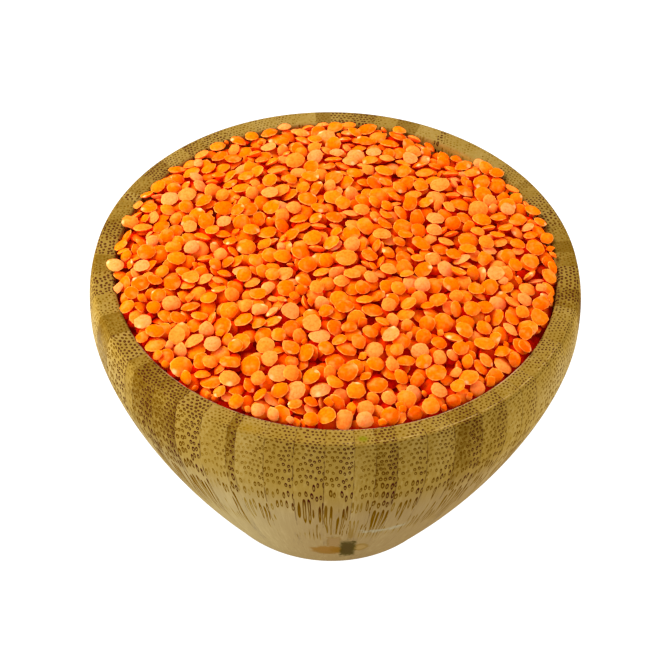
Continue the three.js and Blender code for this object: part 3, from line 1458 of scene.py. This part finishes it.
@dataclass
class Pouring:
    """Lets lentils fall into the bowl one by one, each where it comes to rest lowest.

    The heap so far is a grid of heights. A lentil is taken as a flattened ball; at a place
    and lean it comes to rest where its underside first touches the grid, and its upper side
    is then added to the grid. Of several places tried, it takes the deepest one.

    Attributes:
        bowl: the bowl.
        heap: the surface up to which it is filled.
        pitch: distance between grid points.
        half: grid points from the axis to the grid's edge.
        window: grid points from a lentil's middle to the edge of what is looked at.
        evening: the same for the window that evens the surface out.
        wall_gap: how far inside the mouth the lip's height starts.
        limit: how many lentils are tried at most.
        patience: how many may fail one after another before the bowl is full.
        tries: spots tried at a time.
        choice: spots drawn for each of these.
        inner_share: how often spots are drawn over the whole heap, not by the wall alone.
        edge_from: share of the area inside which none is drawn then.
        edge_clear: how far from the mouth the outermost spots lie.
        footing: share of the radius over which the slope is taken.
        follow: least and most of the slope that a lentil follows.
        lean_noise: spread of the extra lean.
        lean_most: sine of the greatest lean.
        facing: mean lean towards the front.
        steep: share of lentils that stand steeply.
        steep_lean: least and most lean of these.
        lean_favour: how much a leaning spot is preferred.
        proud: how far a lentil may stand above the surface.
        rolls: how far the lentil rolls after each round of tries.
        roll_least: added to each of these.
        plump_least: least share of its kind's thickness.
        plump_spread: how much more it may have.
    """

    bowl: BowlForm
    heap: HeapForm
    pitch: float = 0.25
    half: int = 240
    window: int = 11
    evening: int = 8
    wall_gap: float = 0.1
    limit: int = 3200
    patience: int = 500
    tries: int = 12
    choice: int = 4
    inner_share: float = 0.75
    edge_from: float = 0.85
    edge_clear: float = 0.5
    footing: float = 0.9
    follow: tuple[float, float] = (0.6, 1.1)
    lean_noise: float = 0.24
    lean_most: float = 0.9
    facing: float = 0.14
    steep: float = 0.36
    steep_lean: tuple[float, float] = (0.4, 1.25)
    lean_favour: float = 0.7
    proud: float = 1.1
    rolls: tuple[float, ...] = (0.9, 0.45, 0.0)
    roll_least: float = 0.01
    plump_least: float = 0.93
    plump_spread: float = 0.14

    def __post_init__(self) -> None:
        """Lay out the grid with the core and the bowl's lip."""
        axis = (np.arange(2 * self.half + 1) - self.half) * self.pitch
        self.x, self.y = np.meshgrid(axis, axis, indexing="ij")
        far = np.hypot(self.x, self.y)
        core = self.heap.height(self.bowl, self.x, self.y) - self.heap.core_drop
        wall = self.bowl.mouth_radius - self.wall_gap
        self.ground = np.where(far < wall, core, self.bowl.height)
        offset = np.arange(-self.window, self.window + 1)
        self.win_x, self.win_y = np.meshgrid(offset, offset, indexing="ij")

    def _windows(self, spots: np.ndarray) -> tuple[np.ndarray, np.ndarray]:
        """Number the rows and columns of the grid points round each spot."""
        cell = np.rint(spots / self.pitch).astype(int) + self.half
        return cell[:, 0, None, None] + self.win_x, cell[:, 1, None, None] + self.win_y

    def drop(
        self, spots: np.ndarray, lean: np.ndarray, heading: np.ndarray, radius: float, half: float
    ) -> tuple[np.ndarray, Faces]:
        """Let a lentil, as a tilted flattened ball, fall at several spots.

        For a unit normal n the ball is |p|^2 / r^2 + (p.n)^2 (1 / h^2 - 1 / r^2) = 1, a
        quadratic in p's height; its two roots are the faces. It comes to rest where the
        ground's height over its lower face is greatest.

        Args:
            spots: rows of x and y.
            lean: lean of each, in radians.
            heading: which way each leans.
            radius: the lentil's radius.
            half: half of its thickness.

        Returns:
            Height of its middle at rest on each spot, and its faces there.
        """
        rows, cols = self._windows(spots)
        dx = self.x[rows, 0] - spots[:, 0, None, None]
        dy = self.y[0, cols] - spots[:, 1, None, None]
        nx, ny = np.sin(lean) * np.cos(heading), np.sin(lean) * np.sin(heading)
        nz = np.cos(lean)[:, None, None]
        flat, bulge = 1 / radius**2, 1 / half**2 - 1 / radius**2
        slope = nx[:, None, None] * dx + ny[:, None, None] * dy
        a = flat + bulge * nz**2
        b = bulge * nz * slope
        c = flat * (dx**2 + dy**2) + bulge * slope**2 - 1
        root = b**2 - a * c
        there = root > 0
        root = np.sqrt(np.maximum(root, 0))
        lower, upper = (-b - root) / a, (-b + root) / a
        gap = np.where(there, self.ground[rows, cols] - lower, -np.inf)
        return gap.max(axis=(1, 2)), (rows, cols, upper, there)

    def settle(self, faces: Faces, pick: int, z: float) -> None:
        """Add a lentil at rest to the grid.

        Args:
            faces: its faces, as `drop` gave them.
            pick: which of the spots it rests on.
            z: height of its middle.
        """
        rows, cols, upper, there = (part[pick] for part in faces)
        old = self.ground[rows, cols]
        self.ground[rows, cols] = np.where(there, np.maximum(old, z + upper), old)

    def evened(self, x: np.ndarray, y: np.ndarray) -> np.ndarray:
        """Height of the heap's surface, evened out over about the width of a lentil.

        It is the mean of the grid over a square window, taken from a table of running sums.

        Args:
            x: places to the right.
            y: places to the back.

        Returns:
            Heights.
        """
        wide, last = self.evening, 2 * self.half - self.evening
        sums = np.pad(self.ground, ((1, 0), (1, 0))).cumsum(0).cumsum(1)
        rows = np.clip(np.rint(x / self.pitch).astype(int) + self.half, wide, last)
        cols = np.clip(np.rint(y / self.pitch).astype(int) + self.half, wide, last)
        low_r, high_r, low_c, high_c = rows - wide, rows + wide + 1, cols - wide, cols + wide + 1
        total = sums[high_r, high_c] - sums[low_r, high_c]
        total = total - sums[high_r, low_c] + sums[low_r, low_c]
        return total / (2 * wide + 1) ** 2

    def hollows(self, random: np.random.Generator) -> np.ndarray:
        """Pick spots where the heap is still low, out of many drawn at random.

        Now and then all are drawn near the wall, so that the edge fills up as well.

        Args:
            random: source of the draw.

        Returns:
            Rows of x and y.
        """
        reach = self.bowl.mouth_radius - self.edge_clear
        least = 0.0 if random.random() < self.inner_share else self.edge_from
        far = reach * np.sqrt(random.uniform(least, 1, self.tries * self.choice))
        turn = FULL_TURN * random.random(self.tries * self.choice)
        x, y = far * np.cos(turn), far * np.sin(turn)
        rows = np.rint(x / self.pitch).astype(int) + self.half
        cols = np.rint(y / self.pitch).astype(int) + self.half
        want = self.heap.height(self.bowl, x, y) - self.ground[rows, cols]
        best = np.argsort(-want)[: self.tries]
        return np.stack([x[best], y[best]], -1)

    def kept_in(self, spots: np.ndarray, radius: float) -> np.ndarray:
        """Move spots inwards until the lentil lies within the heap's reach."""
        reach = self.heap.reach(self.bowl, *spots.T) - radius
        return spots / np.maximum(1, np.hypot(*spots.T) / reach)[:, None]

    def lie(
        self, spots: np.ndarray, radius: float, random: np.random.Generator
    ) -> tuple[np.ndarray, np.ndarray]:
        """Lean of a lentil at each spot: along the ground there, or now and then steeply.

        The ground's slope is the least-squares plane under the lentil, (sum of d h) /
        (sum of d^2) for each of the two directions.

        Args:
            spots: rows of x and y.
            radius: the lentil's radius.
            random: source of the small differences.

        Returns:
            Lean and heading of each, in radians.
        """
        rows, cols = self._windows(spots)
        under = np.hypot(self.win_x, self.win_y) * self.pitch < radius * self.footing
        high = self.ground[rows, cols] * under
        span = (self.win_x**2 * under).sum() * self.pitch
        slope_x = (high * self.win_x).sum(axis=(1, 2)) / span
        slope_y = (high * self.win_y).sum(axis=(1, 2)) / span
        count = len(spots)
        lean = np.arctan(np.hypot(slope_x, slope_y)) * random.uniform(*self.follow, count)
        heading = np.arctan2(-slope_y, -slope_x)
        nx = np.sin(lean) * np.cos(heading) + random.normal(0, self.lean_noise, count)
        ny = np.sin(lean) * np.sin(heading) + random.normal(-self.facing, self.lean_noise, count)
        lean = np.arcsin(np.minimum(np.hypot(nx, ny), self.lean_most))
        heading = np.arctan2(ny, nx)
        stand = random.random(count) < self.steep
        lean = np.where(stand, random.uniform(*self.steep_lean, count), lean)
        heading = np.where(stand, random.uniform(-math.pi, math.pi, count), heading)
        return lean, heading

    def best_rest(self, radius: float, half: float, random: np.random.Generator) -> Rest:
        """Try the deepest hollows with one lentil, then roll it a little way from the best.

        Args:
            radius: the lentil's radius.
            half: half of its thickness.
            random: source of places and leans.

        Returns:
            The best way to lie that was found.
        """
        best, spots = None, self.kept_in(self.hollows(random), radius)
        for roll in self.rolls:
            lean, heading = self.lie(spots, radius, random)
            z, faces = self.drop(spots, lean, heading, radius, half)
            top = z + np.hypot(radius * np.sin(lean), half * np.cos(lean))
            room = self.heap.height(self.bowl, spots[:, 0], spots[:, 1]) + self.proud - top
            depth = room + radius * self.lean_favour * np.sin(lean)
            pick = int(np.argmax(depth))
            if best is None or depth[pick] > best.depth:
                place = [*spots[pick], z[pick], lean[pick], heading[pick]]
                best = Rest(depth[pick], room[pick], place, faces, pick)
            step = random.normal(0, roll + self.roll_least, (self.tries, 2))
            spots = self.kept_in(np.array(best.place[:2]) + step, radius)
        return best

    def pour(self, placed: list[list[float]], random: np.random.Generator) -> Batch:
        """Fill the bowl up to the heap's surface.

        Args:
            placed: lentils that already lie there.
            random: source of sizes, places and leans.

        Returns:
            All lentils.
        """
        kinds = list(LENTIL_SHAPES)
        shares = np.array([LENTIL_SHAPES[k].share for k in kinds])
        drawn = random.choice(len(kinds), size=self.limit, p=shares / shares.sum())
        found, misses = list(placed), 0
        for index in drawn:
            shape = LENTIL_SHAPES[kinds[index]]
            radius = shape.radius + random.uniform(-1, 1) * shape.spread
            plump = self.plump_least + self.plump_spread * random.random()
            half = shape.thickness / 2 * plump
            rest = self.best_rest(radius, half, random)
            misses = misses + 1 if rest.room < 0 else 0
            if misses > self.patience:
                break
            if misses == 0:
                self.settle(rest.faces, rest.pick, rest.place[2])
                found.append([index, radius, 2 * half, *rest.place])
        rows = np.array(found)
        LOG.info("poured %d lentils", len(rows))
        return Batch(
            kinds=rows[:, 0].astype(int),
            radius=rows[:, 1],
            thickness=rows[:, 2],
            centre=rows[:, 3:6],
            tilt=rows[:, 6],
            heading=rows[:, 7],
            pale=np.arange(len(rows)) == len(placed) - 1,
        )


@dataclass(frozen=True)
class LentilTints:
    """Colours of the lentils, from deep orange to pale, with how common each is.

    A place is shaded from `shade_from` under the heap's evened surface, and fully so a
    further `shade_span` down. `pale` is the colour of the lentil on the lip.
    """

    codes: tuple[str, ...] = ("f65c00", "fb6600", "ff6e00", "ff780a", "ff8432", "ff8c48")
    shares: tuple[float, ...] = (0.15, 0.26, 0.28, 0.18, 0.10, 0.03)
    shade_from: float = 0.35
    shade_span: float = 1.35
    pale: str = "f8964a"

    def draw(self, count: int, random: np.random.Generator) -> np.ndarray:
        """Draw a colour for each lentil.

        Args:
            count: how many.
            random: source of the draw.

        Returns:
            Linear colours, one row each.
        """
        table = np.array([linear(c)[:3] for c in self.codes])
        odds = np.array(self.shares) / sum(self.shares)
        first = random.choice(len(table), size=count, p=odds)
        second = np.minimum(first + 1, len(table) - 1)
        mix = random.random((count, 1))
        return table[first] * (1 - mix) + table[second] * mix


@dataclass
class LentilMesher:
    """Builds the meshes of one kind of lentil, all of them at once.

    Attributes:
        shape: the kind's sizes.
        around: corners round the outline.
        rings: shares of the outline at which each side has a ring.
        fullness: how far out the back stays thick.
        edge: how blunt the margin is.
        wobbles: how many waves the outline has, and their mean size.
        ragged: least and most roughness of the outline.
        cut_swing: how far the straight cuts turn from an even spread.
        cut_least: keeps a cut from acting behind the middle.
        corner_power: how sharp the corners between cuts are.
        bow: spread of the saddle-shaped warp.
        cup: spread of the dish-shaped warp.
        warp_radius: radius at which the warps are measured.
    """

    shape: LentilShape
    around: int = 12
    rings: tuple[float, ...] = (0.55, 0.88)
    fullness: float = 2.8
    edge: float = 0.88
    wobbles: tuple[tuple[int, float], ...] = ((2, 0.035), (3, 0.028), (5, 0.018))
    ragged: tuple[float, float] = (0.005, 0.03)
    cut_swing: float = 0.12
    cut_least: float = 1e-3
    corner_power: int = 16
    bow: float = 0.03
    cup: float = 0.05
    warp_radius: float = 2.2

    def outline(self, count: int, random: np.random.Generator) -> np.ndarray:
        """Outline of each lentil as a share of its radius.

        A wobble on a circle, trimmed by straight cuts; circle and cuts are joined with
        a soft minimum, (sum of 1 / r^p)^(-1/p), which rounds the corners.

        Args:
            count: how many lentils.
            random: source of wobble and cuts.

        Returns:
            One row of radii for each lentil, one for each corner.
        """
        turn = FULL_TURN * np.arange(self.around) / self.around
        wobble = np.ones((count, self.around))
        for waves, size in self.wobbles:
            phase = random.uniform(0, FULL_TURN, (count, 1))
            wobble += size * random.normal(0, 1, (count, 1)) * np.cos(waves * turn + phase)
        ragged = random.uniform(*self.ragged, (count, 1))
        wobble += ragged * random.normal(0, 1, wobble.shape)
        power = self.corner_power
        total = wobble**-power
        step = FULL_TURN / self.shape.flats
        start = random.uniform(0, FULL_TURN, (count, 1))
        for cut in range(self.shape.flats):
            aim = start + cut * step + random.normal(0, self.cut_swing, (count, 1))
            off = random.uniform(self.shape.cut_low, self.shape.cut_high, (count, 1))
            facing = np.maximum(np.cos(turn - aim), self.cut_least)
            total += (facing / off) ** power
        return total ** (-1 / power)

    def build(
        self,
        name: str,
        batch: Batch,
        chosen: np.ndarray,
        evened: Callable[[np.ndarray, np.ndarray], np.ndarray],
        tints: LentilTints,
        random: np.random.Generator,
    ) -> bpy.types.Object:
        """Make one joined mesh of the chosen lentils.

        Each has rings between two poles. The back's height is h times
        (1 - s^fullness)^edge, where s runs from 0 in the middle to 1 on the outline, and the
        belly's is `under` times that; h is the thickness / (1 + under). A saddle, x^2 - y^2,
        and a dish, x^2 + y^2, each of a small random height, warp it.

        Args:
            name: the object's name.
            batch: all lentils.
            chosen: numbers of those of this kind.
            evened: gives the heap's evened surface at places x and y.
            tints: their colours.
            random: source of their differences.

        Returns:
            The object.
        """
        count, around = len(chosen), self.around
        outline = self.outline(count, random) * batch.radius[chosen, None]
        turn = FULL_TURN * np.arange(around) / around
        share = np.array([*self.rings, 1.0, *self.rings[::-1]])
        side = np.array([-1.0] * len(self.rings) + [0.0] + [1.0] * len(self.rings))
        lift = side * (1 - share**self.fullness) ** self.edge
        lift = np.where(lift < 0, lift * self.shape.under, lift)
        body = batch.thickness[chosen] / (1 + self.shape.under)
        ring = outline[:, None, :] * share[None, :, None]
        x, y = ring * np.cos(turn), ring * np.sin(turn)
        z = body[:, None, None] * lift[None, :, None] + 0 * ring
        bow = random.normal(0, self.bow, (count, 1, 1)) * (x**2 - y**2) / self.warp_radius
        cup = random.normal(0, self.cup, (count, 1, 1)) * ring**2 / self.warp_radius
        skin = np.stack([x, y, z + bow + cup], -1).reshape(count, -1, 3)
        belly = np.stack([0 * body, 0 * body, -body * self.shape.under], -1)[:, None]
        back = np.stack([0 * body, 0 * body, body], -1)[:, None]
        local = np.concatenate([belly, skin, back], axis=1)
        turned = self._turned(local, batch, chosen, random)
        quads, tris = lathe_faces(len(share), around)
        each = local.shape[1]
        shift = (np.arange(count) * each)[:, None, None]
        quads, tris = (quads + shift).reshape(-1, 4), (tris + shift).reshape(-1, 3)
        made = make_object(name, turned.reshape(-1, 3), quads, tris)
        depth = evened(turned[..., 0], turned[..., 1]) - turned[..., 2]
        tint = self._tinted(depth, batch.pale[chosen], tints, random)
        store(made.data, "tint", "FLOAT_COLOR", "POINT", tint)
        pole = np.zeros((1, 2))
        disc = np.stack([share[:, None] * np.cos(turn), share[:, None] * np.sin(turn)], -1)
        flat = np.concatenate([pole, disc.reshape(-1, 2), pole])
        free = np.broadcast_to(random.random((count, 1, 1)), (count, each, 1))
        face = np.concatenate([np.broadcast_to(flat, (count, each, 2)), free], -1)
        store(made.data, "lentil_face", "FLOAT_VECTOR", "POINT", face)
        self._sharpen(made.data, each)
        return made

    def _sharpen(self, mesh: bpy.types.Mesh, each: int) -> None:
        """Mark the edges along every lentil's outline as sharp.

        Args:
            mesh: the joined mesh.
            each: how many corners a lentil has.
        """
        ends = np.empty(2 * len(mesh.edges), np.int32)
        mesh.edges.foreach_get("vertices", ends)
        ring = (ends.reshape(-1, 2) % each - 1) // self.around
        outline = (ring == len(self.rings)).all(axis=1)
        store(mesh, "sharp_edge", "BOOLEAN", "EDGE", outline)

    def _turned(
        self, local: np.ndarray, batch: Batch, chosen: np.ndarray, random: np.random.Generator
    ) -> np.ndarray:
        """Spin each lentil, lean it, sometimes turn it over, and carry it to its place.

        Args:
            local: corners round each lentil's own middle.
            batch: all lentils.
            chosen: numbers of those of this kind.
            random: source of spin and side.

        Returns:
            Corners in the bowl.
        """
        count = len(chosen)
        spin = random.uniform(0, FULL_TURN, count)
        over = np.where(random.random(count) < 0.5, 1.0, -1.0)
        tilt, heading = batch.tilt[chosen], batch.heading[chosen]
        sine, cosine = np.sin(tilt), np.cos(tilt)
        normal = np.stack([sine * np.cos(heading), sine * np.sin(heading), cosine], -1)
        first = np.stack([cosine * np.cos(heading), cosine * np.sin(heading), -sine], -1)
        second = np.cross(normal, first)
        right = first * np.cos(spin)[:, None] + second * np.sin(spin)[:, None]
        up = normal * over[:, None]
        back = np.cross(up, right)
        frames = np.stack([right, back, up], axis=1)
        return np.einsum("nvi,nij->nvj", local, frames) + batch.centre[chosen][:, None]

    def _tinted(
        self, depth: np.ndarray, pale: np.ndarray, tints: LentilTints, random: np.random.Generator
    ) -> np.ndarray:
        """Give every corner its lentil's own tint and tell how far down between others it lies.

        The share s of the way down is smoothed as s^2 * (3 - 2 s).

        Args:
            depth: depth under the heap's evened surface, one row for each lentil.
            pale: which of them is the pale one that lies on the lip.
            tints: the colours.
            random: source of the draw.

        Returns:
            Linear colours and the depth's share, 0 to 1, as alpha; one row for each corner.
        """
        base = tints.draw(len(depth), random)
        base[pale] = linear(tints.pale)[:3]
        base = base[:, None]
        low = np.clip((depth - tints.shade_from) / tints.shade_span, 0, 1)[..., None]
        low = low**2 * (3 - 2 * low)
        low[pale] = 0.0
        return np.concatenate([base + 0 * low, low], -1).reshape(-1, 4)


@dataclass
class Heap:
    """The heap of lentils: a hidden core with the real ones poured over it.

    The core stays `core_gap` inside the hollow, starts `core_floor` above the bowl's floor,
    and lies `core_skin` under the ground that the lentils rest on. Its side ends
    `core_shoulder` under its edge, and its rings crowd towards the floor by the power
    `core_crowding`.
    """

    bowl: BowlForm = BowlForm()
    form: HeapForm = HeapForm()
    tints: LentilTints = LentilTints()
    finish: LentilFinish = LentilFinish()
    core_gap: float = 0.45
    core_floor: float = 1.0
    core_skin: float = 0.1
    core_shoulder: float = 1.5
    core_crowding: float = 1.6
    core_around: int = 96
    core_side: int = 13
    core_top: int = 19
    # Painted shade: the core is dark red, as the lentils deep in the heap look in their shade.
    core_shade_colour: str = "a01000"

    def build(self, random: np.random.Generator) -> list[bpy.types.Object]:
        """Pour the heap and dress it.

        Args:
            random: source of every draw.

        Returns:
            The core and one piece for each kind of lentil.
        """
        pouring = Pouring(self.bowl, self.form)
        batch = pouring.pour(self._strays(pouring), random)
        skin = self.finish.material()
        made = [self._core()]
        for number, kind in enumerate(LENTIL_SHAPES):
            chosen = np.flatnonzero(batch.kinds == number)
            mesher = LentilMesher(LENTIL_SHAPES[kind])
            name = f"lentils_{kind.value}"
            made.append(mesher.build(name, batch, chosen, pouring.evened, self.tints, random))
            LOG.info("%s: %d", made[-1].name, len(chosen))
        for piece in made:
            piece.data.materials.append(skin)
        return made

    def _strays(self, pouring: Pouring) -> list[list[float]]:
        """Lay down the lentils that lie out over the lip on the left, the lowest first.

        Args:
            pouring: the bowl they lie on.

        Returns:
            One row each, as `Pouring.pour` keeps them.
        """
        made = []
        for stray in STRAYS:
            spot = np.array([[stray.x, stray.y]])
            lean, heading = np.array([stray.lean]), np.array([stray.heading])
            z, faces = pouring.drop(spot, lean, heading, stray.radius, stray.thickness / 2)
            pouring.settle(faces, 0, z[0])
            row = [0, stray.radius, stray.thickness, stray.x, stray.y, z[0]]
            made.append([*row, stray.lean, stray.heading])
        return made

    def _core(self) -> bpy.types.Object:
        """Make the hidden core, which follows the hollow below and the dome above.

        Returns:
            The core.
        """
        turns = FULL_TURN * np.arange(self.core_around) / self.core_around
        low = self.bowl.floor_z + self.core_floor
        high = self.bowl.height - self.form.core_drop - self.core_shoulder
        way = np.arange(1, self.core_side + 1) / self.core_side
        z = low + (high - low) * way**self.core_crowding
        rim = self.bowl.mouth_radius - self.core_gap
        top = np.linspace(rim, 0, self.core_top + 1)
        radius = np.concatenate([self.bowl.inside(z) - self.core_gap, top])
        x, y = radius[:, None] * np.sin(turns), -radius[:, None] * np.cos(turns)
        height = self.form.height(self.bowl, x, y) - self.form.core_drop - self.core_skin
        height[: len(z)] = z[:, None]
        rings = np.stack([x, y, height], -1)[:-1].reshape(-1, 3)
        points = np.concatenate([[[0, 0, low]], rings, [[0, 0, height[-1, 0]]]])
        made = make_object("lentil_core", points, *lathe_faces(len(radius) - 1, len(turns)))
        # Its alpha of 1 gives the core the full painted shade and the painted glow of the
        # lentils.
        tint = np.tile(np.array(linear(self.core_shade_colour)), (len(points), 1))
        store(made.data, "tint", "FLOAT_COLOR", "POINT", tint)
        store(made.data, "lentil_face", "FLOAT_VECTOR", "POINT", np.zeros((len(points), 3)))
        return made


# ------------------------------------------------------------------------------- the stage


@dataclass(frozen=True)
class Lamp:
    """A square soft light: its name, where it hangs, its side and its power in watts."""

    name: str
    place: Triple
    size: float
    power: float

    def hang(self, aim: Triple) -> None:
        """Hang the lamp so that it looks at a point.

        Args:
            aim: the point.
        """
        data = bpy.data.lights.new(self.name, "AREA")
        data.size, data.energy = self.size * MM, self.power
        lamp = bpy.data.objects.new(self.name, data)
        lamp.location = Vector(self.place) * MM
        lamp.rotation_mode = "QUATERNION"
        look = Vector(aim) - Vector(self.place)
        lamp.rotation_quaternion = look.to_track_quat("-Z", "Y")
        bpy.context.scene.collection.objects.link(lamp)


@dataclass(frozen=True)
class Studio:
    """Pale floor, soft light and the camera.

    The camera looks at `target` from `elevation` degrees above the level, turned by `roll`
    degrees; `focus` is its focal length in pixels for a picture `frame_px` wide.
    """

    elevation: float = 45.53
    distance: float = 450.0
    focus: float = 1784.3
    target: Triple = (0.374, 0.0, 51.16)
    roll: float = -2.017
    frame_px: float = 671.0
    sensor: float = 36.0
    clip: tuple[float, float] = (0.01, 50.0)
    lamps: tuple[Lamp, ...] = (
        Lamp("key", (-300.0, 120.0, 480.0), 300.0, 4.2),
        Lamp("left", (-430.0, -200.0, 170.0), 320.0, 1.6),
        Lamp("right", (480.0, 60.0, 160.0), 320.0, 2.0),
    )
    aim: Triple = (0.0, 0.0, 60.0)
    sky: float = 0.6
    floor_half: float = 3000.0
    floor_z: float = -0.05
    floor_grey: str = "787878"
    floor_roughness: float = 0.9

    def build(self) -> None:
        """Set up the floor, the light and the camera."""
        self._floor()
        self._world()
        for lamp in self.lamps:
            lamp.hang(self.aim)
        self._camera()
        bpy.context.scene.view_settings.view_transform = "Standard"

    def _floor(self) -> None:
        """Lay a wide pale floor just under the bowl."""
        side = np.array([-1.0, 1.0, 1.0, -1.0]) * self.floor_half
        points = np.stack([side, np.roll(side, 1), np.full(4, self.floor_z)], -1)
        floor = make_object("floor", points, np.array([[0, 1, 2, 3]]), np.zeros((0, 3), int))
        g = Graph("floor_white")
        shader = {
            "Base Color": linear(self.floor_grey),
            "Roughness": self.floor_roughness,
            "Emission Color": WHITE,
            "Emission Strength": 1.0,
        }
        floor.data.materials.append(g.finish(shader))

    def _world(self) -> None:
        """Fill the surroundings with even white light."""
        world = bpy.data.worlds.new("white_room")
        world.use_nodes = True
        back = world.node_tree.nodes["Background"]
        back.inputs["Color"].default_value = WHITE
        back.inputs["Strength"].default_value = self.sky
        bpy.context.scene.world = world

    def _camera(self) -> None:
        """Place the camera in front, above the lip, with its slight roll."""
        e, roll = math.radians(self.elevation), math.radians(self.roll)
        forward = Vector((0, math.cos(e), -math.sin(e)))
        up = Vector((0, math.sin(e), math.cos(e)))
        right = Vector((1, 0, 0))
        up_rolled = up * math.cos(roll) + right * math.sin(roll)
        right_rolled = right * math.cos(roll) - up * math.sin(roll)
        data = bpy.data.cameras.new("camera")
        data.sensor_width = self.sensor
        data.lens = self.focus * self.sensor / self.frame_px
        data.clip_start, data.clip_end = self.clip
        camera = bpy.data.objects.new("camera", data)
        turned = Matrix((right_rolled, up_rolled, -forward)).transposed().to_4x4()
        place = (Vector(self.target) - forward * self.distance) * MM
        camera.matrix_world = Matrix.Translation(place) @ turned
        bpy.context.scene.collection.objects.link(camera)
        bpy.context.scene.camera = camera


def main() -> None:
    """Build the bowl, the heap and the stage, and report each piece."""
    logging.basicConfig(level=logging.INFO, format="%(name)s: %(message)s")
    random = np.random.default_rng(SEED)
    bowl = Bowl()
    piece = bowl.build(random)
    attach(piece, "root")
    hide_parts("bowl")
    LOG.info("%s has %d corners", piece.name, len(piece.data.vertices))
    heap = Heap(bowl=bowl.form)
    for part in heap.build(random):
        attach(part, "root")
        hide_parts("lentils")
        LOG.info("%s has %d corners", part.name, len(part.data.vertices))
    Studio().build()


if __name__ == "__main__":
    main()
